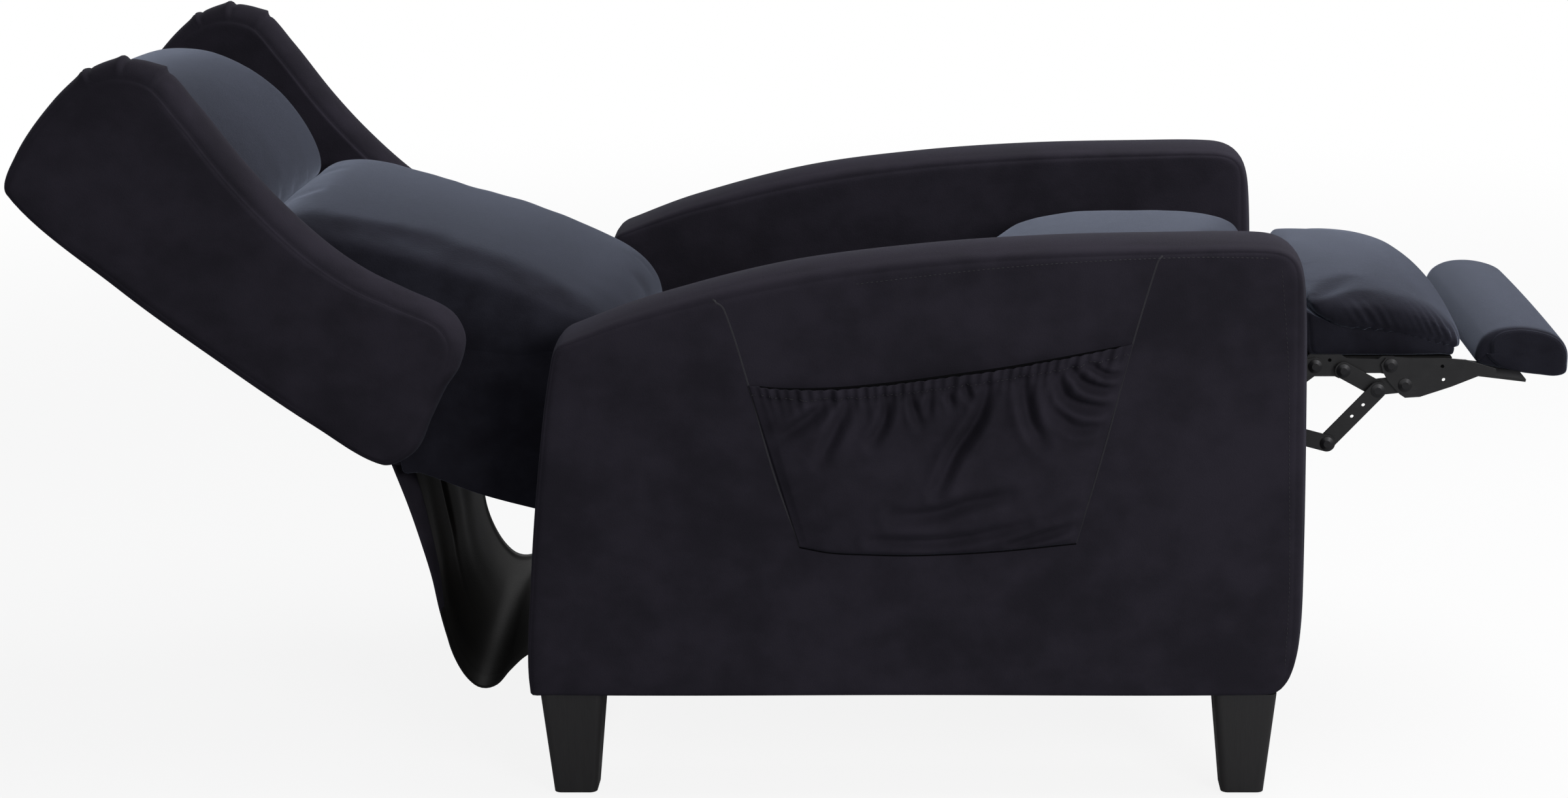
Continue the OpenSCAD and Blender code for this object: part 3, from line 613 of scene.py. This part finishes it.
# %% Boxed form
# The panel's rings, as shares of the way out; then, close to the seam, how far
# inside it each ring lies and how deep in the groove
PANEL_RINGS = (0.12, 0.28, 0.44, 0.58, 0.70, 0.80, 0.88, 0.94)
SEAM_RINGS = ((9.0, 0.0), (5.5, 0.05), (3.2, 0.24), (1.5, 0.62), (0.5, 0.9))
WIDEST_FORM = 160  # a narrower form's seam rings lie closer together
ROLL_WIDE = 14


def swell(away, rise):
    """A quarter round: how full the band is at a distance from its seam."""
    short = 1 - min(1.0, away / rise)
    return math.sqrt(1 - short * short)


def boxed_form(name, finish, edge, y_a, y_b, rise, count, groove=2.4,
               lift=(1.5, 0.0), place=upright, crown=0.0, band=12, fold=None,
               roll=0.0):
    """Two panels at y_a and y_b with a full band sewn round them."""
    loop = closed_curve(edge, count)
    flat = [Vector((p.x, p.y)) for p in loop]
    out = outward(flat)
    seam = [p - n * q.z for p, n, q in zip(flat, out, loop)]
    centre = sum(seam, Vector((0, 0))) / count
    half = (y_b - y_a) / 2 - groove
    middle = (y_a + y_b) / 2

    def in_room(p, y):
        x, z = place(p.x, p.y)
        return x, y, z

    def panel(y_seam, side, bulge):
        made = []
        for share in PANEL_RINGS:
            y = y_seam + side * (groove + bulge * (1 - share ** 4))
            made.append([(centre + (p - centre) * share, y) for p in seam])
        for away, deep in SEAM_RINGS:
            y = y_seam + side * groove * (1 - deep)
            made.append([(p + (centre - p) * min(
                away / (centre - p).length, away / WIDEST_FORM), y)
                for p in seam])
        return made

    outer = panel(y_a + groove, -1, lift[0])
    inner = panel(y_b - groove, 1, lift[1])
    steps = 2 * band
    strip = []
    for k in range(steps + 1):
        side = -1 if k <= band else 1
        part = min(k, steps - k) / band
        away = half * (1 - math.cos(part * math.pi / 2))
        y = middle + side * (half - away)
        y += side * roll * math.sin(math.pi * min(1.0, away / ROLL_WIDE))
        u = 1 - away / half
        row = []
        for p, n, q in zip(seam, out, loop):
            full = q.z * swell(away, rise)
            full += crown * (1 - u * u) * max(0.0, n.y) ** 0.7
            if fold:
                full += fold(p + n * q.z, away)
            row.append((p + n * full, y))
        strip.append(row)
    rows = [[in_room(p, y) for p, y in row]
            for row in outer + strip + inner[::-1]]
    tips = (in_room(centre, y_a - lift[0]), in_room(centre, y_b + lift[1]))
    return skin(name, rows, finish, tips)


print("a band is", round(swell(26, 52), 2), "full a quarter of the way over")

# %% [markdown]
# ## Cushions blown up by a cloth simulation
# A cushion is tight cloth round soft stuffing. Blender's Cloth with a little
# pressure gives the even swell that is hard to draw. The drawn form is first
# remeshed to even squares and drawn in, then blown up, and no point may travel
# further than a cap, so the cushion ends where the photograph has it.

# %% Plump and press
SIM_FRAMES = 20
CLOTH = {"use_pressure": True, "uniform_pressure_force": 4, "quality": 4,
         "tension_stiffness": 6, "compression_stiffness": 6,
         "bending_stiffness": 12, "vertex_group_mass": "held"}
MAY_OVERSHOOT = 3  # millimetres past the drawn form
# Gathers beside a seam: how high, how far apart, how far they reach into the
# cloth, and how much they lean along the seam
GATHER_HIGH, GATHER_EVERY, GATHER_REACH, GATHER_LEAN = 2.0, 10.5, 18, 0.8


def modifier_result(piece):
    """Bakes a piece's modifiers into its mesh."""
    shape = bpy.data.meshes.new_from_object(
        piece.evaluated_get(bpy.context.evaluated_depsgraph_get()))
    piece.modifiers.clear()
    old, piece.data = piece.data, shape
    bpy.data.meshes.remove(old)
    shape.polygons.foreach_set("use_smooth", [True] * len(shape.polygons))


def plump(piece, drawn_in, held, voxel, calm=14):
    """Remeshes a cushion, draws it in and blows it up again."""
    remesh = piece.modifiers.new("even", "REMESH")
    remesh.mode, remesh.voxel_size = "VOXEL", voxel * MM
    modifier_result(piece)
    mesh = piece.data
    pins = piece.vertex_groups.new(name="held")
    start = []
    for v in mesh.vertices:
        if held(v.co / MM, v.normal):
            pins.add([v.index], 1.0, "REPLACE")
        else:
            v.co -= v.normal * (drawn_in * MM)
        start.append(v.co.copy())
    cloth = piece.modifiers.new("stuffing", "CLOTH").settings
    cloth.effector_weights.gravity = 0
    for setting, value in CLOTH.items():
        setattr(cloth, setting, value)
    for number in range(1, SIM_FRAMES + 1):
        scene.frame_set(number)
    blown = piece.evaluated_get(
        bpy.context.evaluated_depsgraph_get()).data
    cap = (drawn_in + MAY_OVERSHOOT) * MM
    ends = [v.co.copy() for v in blown.vertices]
    piece.modifiers.clear()
    scene.frame_set(1)
    for v, was, now in zip(mesh.vertices, start, ends):
        way = now - was
        v.co = was + way * min(1.0, cap / max(way.length, 1e-9))
    piece.vertex_groups.clear()
    smooth = piece.modifiers.new("even out", "SMOOTH")
    smooth.factor = 0.5
    smooth.iterations = calm
    finer = piece.modifiers.new("finer", "SUBSURF")
    finer.levels = finer.render_levels = 1
    modifier_result(piece)


def press_seam(piece, line, deep, wide):
    """Presses a seam line into a form, with gathers standing beside it."""
    line = [Vector(p) for p in line]
    long = sum((b - a).length for a, b in zip(line, line[1:]))
    path = evenly(line, max(8, int(long / 1.5)))
    tree = KDTree(len(path))
    for i, p in enumerate(path):
        tree.insert(p, i)
    tree.balance()
    step = (path[1] - path[0]).length
    far = max(3 * wide, 2.5 * GATHER_REACH)
    for v in piece.data.vertices:
        at = v.co / MM
        _, i, away = tree.find(at)
        if away > far:
            continue
        move = -deep * math.exp(-(away / wide) ** 2)
        along = i * step + GATHER_LEAN * away
        wave = math.sin(2 * math.pi * along / GATHER_EVERY
                        + 2.4 * math.sin(along / 19.0))
        wave *= 0.6 + 0.4 * math.sin(along / 11.0 + 2.0)
        grow = min(1.0, away / 6.0) * math.exp(-(away / GATHER_REACH) ** 2)
        grow *= min(1.0, i * step / 40.0)
        move += GATHER_HIGH * wave * grow
        v.co += v.normal * (move * MM)
    piece.data.update()


print("simulated frames for each cushion:", SIM_FRAMES)

# %% [markdown]
# ## Dressing the CAD's own steel, timber and plastic
# The record says which slot each solid has. The finishes above carry the same
# names, so one loop dresses every solid that stays. Three of them look
# otherwise than their slot: the straps are woven, and two boards wear cloth.

# %% Dress every CAD node
OWN_FINISH = {"back_straps": webbing, "seat_front_board": velvet_dark,
              "ottoman_board": lining}
for entry in frame["record"]["subparts"]:
    slot = entry["material_slot"]
    dress(entry["node"], SLOT_FINISH[slot], EDGE_ROUND.get(slot, SOFT_ROUND))
for node, finish in OWN_FINISH.items():
    nodes[node].data.materials[0] = finish

# %% [markdown]
# ## Arms
# Each arm is two flat panels with a padded band sewn between them. The band is
# fullest along the top and front.

# %% Arms
ARM_OUT, ARM_IN = -350.0, -245.0
ARM_EDGE = [
    (-292, 119, 5), (-289, 240, 7), (-274, 390, 7), (-260, 478, 6),
    (-252, 499, 5), (-236, 508, 6), (-160, 538, 10), (-20, 575.5, 14),
    (119, 594, 12), (257, 603.5, 11), (395, 606, 9), (480, 605, 7),
    (506, 599, 7), (520, 584, 9), (527, 552, 13), (531, 460, 15),
    (534, 230, 15), (531, 165, 13), (522, 134, 10), (506, 119, 5),
    (480, 118.4, 0.4), (120, 118.4, 0.4), (-268, 118.4, 0.4)]

arm_right = boxed_form("arm_right_cover", velvet_dark, ARM_EDGE, ARM_OUT,
                       ARM_IN, rise=50, count=420, lift=(0.6, 0.0), band=14,
                       roll=3.0)
arm_left = mirrored(arm_right, "arm_left_cover")
rides(arm_right, "base", ["right_arm_cover"])
rides(arm_left, "base", ["left_arm_cover"])

# %% [markdown]
# ## Seams and stitches that lie on a form
# A seam between two cloths in one plane is a narrow valley between two soft
# lips, and top-stitching is a row of short threads. Both are laid on the
# finished form: each point looks for the nearest place on it. A top-stitch
# runs along the top and the front of each arm's outer panel.

# %% Seam strips and stitches
SEAM_PROFILE = ((-3.2, -0.5), (-2.2, 0.35), (-1.1, 0.75), (-0.35, -0.1),
                (0.35, -0.1), (1.1, 0.75), (2.2, 0.35), (3.2, -0.5))


def on_form(form, points):
    """Each point moved to the form's surface, with the surface's normal."""
    tree = BVHTree.FromPolygons([v.co / MM for v in form.data.vertices],
                                [p.vertices for p in form.data.polygons])
    found = []
    for p in points:
        at, normal, _, _ = tree.find_nearest(Vector(p))
        found.append((at, normal))
    return found


def seam_strip(name, finish, form, points, count, width=1.0):
    """A sewn line along the points, laid on a form."""
    laid = on_form(form, open_curve(points, count))
    rows = []
    for i, (at, normal) in enumerate(laid):
        way = laid[min(i + 1, count - 1)][0] - laid[max(i - 1, 0)][0]
        side = way.cross(normal).normalized()
        rows.append([at + side * (a * width) + normal * (h * width)
                     for a, h in SEAM_PROFILE])
    return skin(name, rows, finish, around=False)


def stitches(name, form, points, pitch=5.0, long=3.0, thick=0.34):
    """Short threads along a line, each a small pointed bar."""
    line = open_curve(points, 200)
    total = sum((b - a).length for a, b in zip(line, line[1:]))
    laid = on_form(form, evenly(line, int(total / pitch * 2) + 1))
    verts, faces = [], []
    for i in range(0, len(laid) - 1, 2):
        (a, n), (b, _) = laid[i], laid[i + 1]
        way = (b - a).normalized()
        side = way.cross(n).normalized()
        mid = (a + b) / 2
        base = len(verts)
        for share, fat in ((-0.5, 0.25), (-0.3, 1.0), (0.3, 1.0), (0.5, 0.25)):
            for k in range(6):
                turn = k * math.pi / 3
                verts.append(mid + way * (share * long)
                             + side * (math.cos(turn) * thick * fat)
                             + n * ((math.sin(turn) * fat + 0.5) * thick))
        for j in range(3):
            for k in range(6):
                p, q = base + j * 6 + k, base + j * 6 + (k + 1) % 6
                faces.append((p, q, q + 6, p + 6))
        faces.append(tuple(base + k for k in range(5, -1, -1)))
        faces.append(tuple(base + 18 + k for k in range(6)))
    return make_piece(name, verts, faces, thread)


def at_side(points, y):
    """Points of a side view set at one distance across the chair."""
    return [(x, y, z) for x, z in points]


ARM_STITCHES = {
    "top": [(60, 566), (200, 582), (308, 590), (415, 594), (482, 593)],
    "front": [(497, 580), (506, 480), (510, 375), (514, 240), (512, 150)]}
for label, arm, y in (("right", arm_right, ARM_OUT),
                      ("left", arm_left, -ARM_OUT)):
    for where, line in ARM_STITCHES.items():
        row = stitches(f"arm_{label}_{where}_stitch", arm, at_side(line, y))
        rides(row, "base")

# %% [markdown]
# ## Side pocket
# The pocket is a cloth sewn into two seams of the arm's outer panel. Elastic
# in its hem draws the mouth into small gathers, and the cloth hangs a little
# full below. It is a grid of points: each takes its place between the seams,
# then stands off the arm by a smooth fullness, the gathers and a few drawn
# folds. A near-black strip behind the mouth is painted shade: it stands for
# the shadow inside the pocket.

# %% Pocket lines
POCKET_FOOT = [(-1, 285), (30, 279), (65, 277), (120, 276), (202, 280),
               (289, 289)]
POCKET_MOUTH = [(-52, 459), (-15, 456), (39, 457), (93, 462), (147, 469),
                (228, 481), (345, 503)]
POCKET_ACROSS, POCKET_UP = 200, 84
POCKET_FULL = 14.0
HEM = 0.93  # how far up the pocket the hem's stitches run
# Drawn folds: a line as X and Z, its half width, and its depth
POCKET_FOLDS = [
    ([(32, 444), (7, 422), (-24, 402)], 7, 3.0),
    ([(51, 442), (36, 409), (21, 379)], 7, 2.6),
    ([(93, 447), (88, 422), (75, 399)], 6, 2.8),
    ([(117, 447), (125, 419)], 5, 2.4), ([(135, 450), (131, 425)], 5, 1.8),
    ([(154, 454), (159, 439)], 4, 1.8), ([(173, 460), (178, 445)], 4, 1.8),
    ([(196, 457), (184, 422), (162, 389), (143, 347)], 7, 4.0),
    ([(232, 464), (239, 425), (252, 399)], 7, 3.6),
    ([(269, 467), (276, 449), (294, 439), (324, 433)], 6, 3.6),
    ([(282, 477), (297, 462), (335, 452)], 5, 3.2),
    ([(301, 482), (316, 472), (337, 469)], 4, 2.6),
    ([(265, 432), (287, 415), (313, 415)], 6, 1.8),
    ([(97, 321), (139, 323), (178, 335), (217, 342)], 8, 3.0),
    ([(74, 293), (152, 293), (237, 311)], 6, 2.2),
    ([(221, 288), (256, 299), (287, 308)], 5, 2.4)]
DRAWN_FOLDS = [(open_curve(line, 9), wide, deep)
               for line, wide, deep in POCKET_FOLDS]
print("the pocket has", len(DRAWN_FOLDS), "drawn folds")

# %% Pocket cloth


def near_line(p, line):
    """How far p lies from a bent line, and how far along it."""
    best, pieces = (1e9, 0.0), len(line) - 1
    for k, (a, b) in enumerate(zip(line, line[1:])):
        span = b - a
        share = max(0.0, min(1.0, (p - a).dot(span) / span.length_squared))
        away = (p - a - span * share).length
        if away < best[0]:
            best = (away, (k + share) / pieces)
    return best


def pocket_stand(u, v, here):
    """How far the cloth stands off the arm, u across and v up the pocket."""
    across = max(0.0, math.sin(math.pi * u)) ** 0.42
    up = math.sin(math.pi / 2 * min(1.0, v / 0.4)) ** 0.5
    full = POCKET_FULL * across * up * (1 - 0.30 * v)
    edge = min(1.0, min(u, 1 - u) * 30, v * 60)
    hem = math.exp(-((v - HEM) / 0.018) ** 2)
    below = 0.6 * math.exp(-(HEM - v) / 0.06) if v < HEM else 0.9
    gathers = (1.0 * math.sin(2 * math.pi * 37 * u + 2.0 * math.sin(17 * u))
               + 0.6 * math.sin(2 * math.pi * 22 * u + 1.0))
    folds = 0.0
    for line, wide, deep in DRAWN_FOLDS:
        away, share = near_line(here, line)
        if away < 4 * wide:
            taper = math.sin(math.pi * (0.12 + 0.8 * share))
            folds -= 1.9 * deep * math.exp(-(away / wide) ** 2) * taper
            folds += (0.9 * deep * math.exp(-((away - 1.8 * wide)
                                              / wide) ** 2) * taper)
    stand = full + gathers * below * 1.7 + 1.5 * folds - 2.2 * hem
    return 1.3 + edge * max(0.0, stand)


def pocket_grid():
    """The cloth's points in rows, from the foot up to the mouth."""
    foot = open_curve(POCKET_FOOT, POCKET_ACROSS + 1)
    mouth = open_curve(POCKET_MOUTH, POCKET_ACROSS + 1)
    rows = []
    for j in range(POCKET_UP + 1):
        v = j / POCKET_UP
        row = []
        for i in range(POCKET_ACROSS + 1):
            u = i / POCKET_ACROSS
            p = foot[i].lerp(mouth[i], v)
            row.append((p.x, ARM_OUT - 1.0 - pocket_stand(u, v, p), p.y))
        rows.append(row)
    return rows


pocket = skin("side_pocket", pocket_grid(), velvet_dark, around=False)
thicken(pocket, 1.4, -1)
rides(pocket, "base", ["right_arm_pocket"])

# %% Pocket mouth shade, seams and hem
# Painted shade: a near-black strip on the arm behind the mouth, for the shadow
# inside the pocket
mouth_shade_rows = [[(p.x, ARM_OUT - 1.2, p.y + z) for z in (-14, -9, -4, 0.4)]
               for p in open_curve(POCKET_MOUTH, 101)[3:-3]]
mouth_shade = skin("pocket_mouth_shade", mouth_shade_rows, painted_shade_cloth, around=False)
thicken(mouth_shade, 0.8)
rides(mouth_shade, "base")

# The seam at the pocket's foot is painted shade: a near-black line for the
# shadow under the pocket's bulge
POCKET_SEAMS = [
    ([(-88, 551), (-76, 539), (-52, 459), (-27, 363), (-1, 285)], thread, 0.3),
    ([(374, 598), (369, 588), (345, 503), (316, 386), (289, 289)], thread,
     0.3),
    (POCKET_FOOT, painted_shade_cloth, 0.75)]
for number, (line, finish, width) in enumerate(POCKET_SEAMS):
    strip = seam_strip(f"pocket_seam_{number}", finish, arm_right,
                       at_side(line, ARM_OUT - 2), 120, width)
    rides(strip, "base")

hem_line = [(p.x, p.y - 11) for p in open_curve(POCKET_MOUTH, 12)]
hem_row = stitches("pocket_hem_stitch", pocket,
                   at_side(hem_line, ARM_OUT - 12), pitch=4.6)
rides(hem_row, "base")

# %% [markdown]
# ## Wings
# A wing is boxed as an arm is. Its band is drawn round a tight corner at the
# top, so the cloth is laid in three pleats there: narrow ridges that run over
# the band to the seam.

# %% Wings
WING_OUT, WING_IN = -272.3, -212.3
WING_EDGE = [
    (0, 0, 7), (-18, 40, 9), (-21, 110, 11), (-12, 158, 15), (8, 189, 17),
    (46, 208, 18), (95, 200, 18), (167, 182, 18), (225, 172, 18),
    (290, 167, 18), (340, 170, 17), (385, 180, 16), (436, 191, 15),
    (465, 179, 14), (480, 150, 12), (483, 122, 11), (491, 86, 10),
    (500, 46, 9), (482, 14, 8), (400, 2, 8), (290, -5, 8), (150, -9, 8)]
WING_PLEATS = [(-14, 156), (9, 191), (49, 211)]


def wing_pleats(p, away):
    """Three sharp tucks over the band, each with a hollow beside it."""
    high = 0.0
    for s, n in WING_PLEATS:
        gap = (p - Vector((s, n))).length
        high += 5.0 * math.exp(-gap / (5.5 if p.x < s else 2.8))
        if p.x > s:
            high -= 1.6 * math.exp(-((gap - 5.5) / 3.0) ** 2)
    return high * min(1.0, away / 6.0 + 0.3)


wing_right = boxed_form("wing_right_cover", velvet_dark, WING_EDGE, WING_OUT,
                        WING_IN, rise=26, count=700, lift=(2.5, 0.0),
                        place=in_back, band=10, fold=wing_pleats)
wing_left = mirrored(wing_right, "wing_left_cover")
rides(wing_right, "back", ["right_wing"])
rides(wing_left, "back", ["left_wing"])

# %% [markdown]
# ## Rear cover and lower sides
# The back's rear face is one cloth stretched over the frame, with a little
# wadding under it. It bends near the foot, where the back grows thicker. Below
# the wings a flat side closes the back. Its front edge turns in under the
# lumbar cushion, so that the two meet in a crease.

# %% Rear cover and lower sides
BACK_HALF = 212.0
REAR_EDGE = [
    (-2, -2, 3), (150, -4, 3), (300, -3, 3), (480, 0, 3), (520, 24, 3),
    (587, 46, 3), (660, 79, 3), (692, 95, 3), (694, 104, 2), (684, 108, 1),
    (640, 88, 0.5), (583, 62, 0.5), (514, 40, 0.5), (490, 13, 0.5),
    (300, 13, 0.5), (150, 13, 0.5), (0, 12, 1)]
rear_cover = boxed_form("back_rear_cover", velvet_dark, REAR_EDGE, -BACK_HALF,
                        BACK_HALF, rise=12, count=300, groove=1.2,
                        lift=(0, 0), place=in_back, band=16)
rides(rear_cover, "back", ["back_panel"])

SIDE_EDGE = [
    (300, 120, 2), (400, 57, 2), (470, 41, 2), (492, 19, 2), (506, 8, 2),
    (520, 19, 2), (587, 42, 2), (660, 75, 2), (692, 91, 2), (701, 106, 2),
    (699, 190, 2), (690, 212, 2), (655, 232, 2), (625, 238, 3),
    (590, 234, 3), (537, 216, 3), (460, 182, 3), (405, 166, 3),
    (340, 156, 3), (300, 140, 3)]
side_right = boxed_form("back_lower_side_right", velvet_seat, SIDE_EDGE,
                        -BACK_HALF - 7.0, -BACK_HALF + 20, rise=12, count=300,
                        groove=0.5, lift=(0, 0), place=in_back, band=6)
TURN_FROM, TURN_WIDE, TURN_IN = 213, 55, 6.5
for v in side_right.data.vertices:
    s, n = along_back(v.co / MM)
    over = (n - TURN_FROM - 0.5 * (s - 660)) / TURN_WIDE
    over = max(0.0, min(1.0, over))
    v.co.y += TURN_IN * MM * over * over * (3 - 2 * over)
side_left = mirrored(side_right, "back_lower_side_left")
for side in (side_right, side_left):
    rides(side, "back")

# %% [markdown]
# ## Head and lumbar cushions
# Two soft forms between the wings, with a crease where they meet. Both are
# drawn as the side view shows them and blown up a little. What lies against
# the frame is held still.

# %% Head and lumbar cushions
HEAD_EDGE = [
    (-14, 76, 4), (-26, 90, 6), (-17, 108, 8), (2, 126, 8), (28, 143, 8),
    (66, 154, 8), (106, 157, 8), (146, 152, 8), (184, 139, 8),
    (212, 121, 8), (221, 104, 6), (212, 84, 5), (190, 73, 4),
    (100, 72.8, 3), (10, 72.8, 3)]
LUMBAR_EDGE = [
    (226, 77, 4), (214, 102, 7), (221, 132, 9), (250, 155, 9),
    (303, 183, 9), (374, 215, 9), (457, 248, 9), (533, 268, 9),
    (574, 276, 8), (607, 273, 8), (632, 258, 8), (639, 238, 7),
    (627, 216, 5), (608, 204, 4), (530, 140, 3), (454, 74.5, 3),
    (430, 72.8, 3), (340, 72.8, 3), (250, 72.8, 3)]


def on_frame(at, normal):
    """Whether a point of a back cushion lies against the frame."""
    return along_back(at)[1] < 76


head = boxed_form("head_cushion_cover", velvet_seat, HEAD_EDGE, -BACK_HALF + 1,
                  BACK_HALF - 1, rise=34, count=220, groove=0.5,
                  lift=(0, 0), place=in_back, crown=13, band=16)
plump(head, 3, on_frame, 5.0)
rides(head, "back", ["head_cushion"])

lumbar = boxed_form("lumbar_cushion_cover", velvet_seat, LUMBAR_EDGE,
                    -BACK_HALF + 1, BACK_HALF - 1, rise=34, count=300,
                    groove=0.5, lift=(0, 0), place=in_back, crown=11, band=16)
plump(lumbar, 3, on_frame, 6.0, calm=22)
rides(lumbar, "back", ["lumbar_cushion"])

# %% [markdown]
# ## Seat
# The seat cushion is one boxed form with a low bump at the rear, where it
# meets the back, and a long crown toward the knees.

# %% Seat cushion
SEAT_EDGE = [
    (-72, 424, 4), (-84, 444, 6), (-74, 464, 8), (0, 478, 9), (90, 488, 9),
    (160, 498, 9), (206, 502, 9), (238, 522, 9), (290, 534, 9),
    (350, 538, 9), (420, 537, 9), (480, 532, 9), (512, 521, 9),
    (519, 478, 8), (502, 430, 5), (462, 421, 3), (430, 419.4, 2),
    (300, 419.2, 2), (100, 419.2, 2), (-10, 419.4, 2), (-45, 421, 2)]
SEAT_HALF = 229.0
seat = boxed_form("seat_cushion_cover", velvet_seat, SEAT_EDGE, -SEAT_HALF + 1,
                  SEAT_HALF - 1, rise=36, count=320, groove=0.5, lift=(0, 0),
                  crown=9, band=16)
plump(seat, 4, lambda at, normal: at.z < 424, 7.0)
rides(seat, "seat", ["seat_cushion"])

# %% [markdown]
# ## Main footrest pad
# The pad is a pillow sewn on a low boxing strip. Its seam slopes down toward
# the front, and the pillow's cloth is gathered along it at the ends.

# %% Footrest pad
OTTOMAN_HALF = 208.0
BOXING_EDGE = [
    (545, 458, 2), (541, 480, 2), (540, 506, 2), (556, 496, 2),
    (580, 489, 2), (640, 484, 2), (689, 474, 2), (703, 466, 2),
    (702, 456, 2), (690, 455.8, 2), (650, 455.6, 1), (600, 455.6, 1),
    (560, 455.8, 1)]
boxing = boxed_form("ottoman_boxing", velvet_seat, BOXING_EDGE,
                    -OTTOMAN_HALF + 5, OTTOMAN_HALF - 5, rise=8, count=200,
                    groove=0.8, lift=(2, 2), band=16)
PILLOW_EDGE = [
    (562, 494, 4), (549, 502, 6), (540, 511, 8), (545, 519, 10),
    (564, 520.5, 11), (600, 519.5, 12), (641, 516, 12), (679, 505, 12),
    (703, 488, 11), (714, 472, 9), (711, 461, 6), (699, 462, 4),
    (655, 474, 3), (612, 482, 3), (575, 486, 3)]
ottoman = boxed_form("ottoman_pillow", velvet_seat, PILLOW_EDGE,
                     -OTTOMAN_HALF, OTTOMAN_HALF, rise=30, count=240,
                     groove=0.5, lift=(0, 0), crown=12, band=18)
plump(ottoman, 2, lambda at, normal: normal.z < -0.6, 4.5)
END_SEAM = [(556, 498), (572, 492), (613, 489), (655, 482), (692, 474),
            (711, 465)]
for side in (-1, 1):
    press_seam(ottoman, at_side(END_SEAM, side * (OTTOMAN_HALF - 1)), 1.0, 2.5)
rides(ottoman, "ottoman", ["ottoman_pad"])
rides(boxing, "ottoman")

# %% [markdown]
# ## Flap
# The front flap is a small bolster with flat end panels, and its cloth runs
# down over the edges of its board.

# %% Flap
FLAP_HALF = 188.0
FLAP_EDGE = [
    (731, 445, 16), (732.5, 459, 14), (740, 472, 8), (755, 480, 3),
    (778, 482.5, 2), (802, 479, 2), (820, 471, 2), (829.5, 458, 2),
    (831, 443, 2), (829, 432, 1), (818, 428, 1), (800, 429.5, 1),
    (780, 432, 1), (757, 436, 3), (738, 440, 12)]
flap = boxed_form("flap_cover", velvet_seat, FLAP_EDGE, -FLAP_HALF, FLAP_HALF,
                  rise=8, count=300, groove=2.2, lift=(1.5, 1.5), band=18,
                  crown=2)
rides(flap, "flap", ["flap_pad", "flap_board"])

# %% [markdown]
# ## Rear sling
# A cloth hangs from the bend in the back's rear face down to the base, to
# close the gap when the chair leans back. Its near edge shows the velvet side,
# and behind it one looks into the black lining. It hangs slack, in a few
# upright folds, and its lower end is tucked under the rear rail. Its upper end
# goes up with the back when the chair closes. Here it is drawn once, in this
# pose, and carried by no body.

# %% Rear sling
SLING_SECTION = [
    (-437, 338), (-424, 288), (-415, 245), (-408, 205), (-404, 165),
    (-397, 125), (-385, 96), (-371, 79.5), (-359, 76), (-346, 81),
    (-332, 97), (-312, 115), (-286, 124), (-262, 119.8), (-236, 119.6),
    (-196, 121)]
SLING_HUNG = 0.857  # the share of the section that hangs free
SLING_HALF = 205.0
SLING_LONG, SLING_WIDE = 105, 130
# Creases: place across, place down, half width, length, depth
SLING_CREASES = [(0.36, 0.20, 0.022, 0.18, 4.5),
                 (0.60, 0.30, 0.07, 0.25, 3.0), (0.16, 0.35, 0.06, 0.25, 2.5)]
NEAR_EDGE, TURNED_OVER = 22, 165  # where the near edge shows its velvet side
EDGE_FLARE = 17  # the near edge swings out by this much at the top
FAR_BACK, FAR_UP = 16, 36  # the far side hangs this much less slack


def sling_rows():
    """The cloth's points in rows, from the near edge to the far one."""
    section = open_curve(SLING_SECTION, SLING_LONG + 1)
    rows = []
    for j in range(SLING_WIDE + 1):
        u = j / SLING_WIDE
        row = []
        for i, p in enumerate(section):
            s = min(1.0, i / SLING_LONG / SLING_HUNG)
            a, b = section[max(i - 1, 0)], section[min(i + 1, SLING_LONG)]
            way = (b - a).normalized()
            out = Vector((way.y, -way.x))
            loose = math.sin(math.pi * s)
            fold = 2.5 * math.sin(2 * math.pi * 0.9 * u + 2.2 * s) * loose
            for at, low, wide, long, deep in SLING_CREASES:
                fold += (deep * math.exp(-((u - at) / wide) ** 2)
                         * math.exp(-((s - low) / long) ** 2))
            flare = max(0.0, 1 - u / 0.055) ** 1.3 * max(0.0, 1 - s / 0.52)
            hem = 2.0 * math.exp(-((u - 0.97) / 0.012) ** 2)
            q = p + out * (fold * min(1.0, u * 12) - hem)
            row.append((q.x - EDGE_FLARE * flare - FAR_BACK * u * loose,
                        -SLING_HALF + 2 * SLING_HALF * u,
                        q.y + FAR_UP * u * loose))
        rows.append(row)
    return rows


sling = skin("rear_sling_cloth", sling_rows(), lining, around=False)
doubled = thicken(sling, 1.8)
sling.data.materials.append(velvet_dark)
doubled.material_offset = 1
for poly in sling.data.polygons:
    at = poly.center / MM
    if at.y < NEAR_EDGE - SLING_HALF and at.z > TURNED_OVER:
        poly.material_index = 1
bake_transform(sling)
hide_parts("rear_sling")
print(sling.name, "hangs with", len(sling.data.vertices), "points")
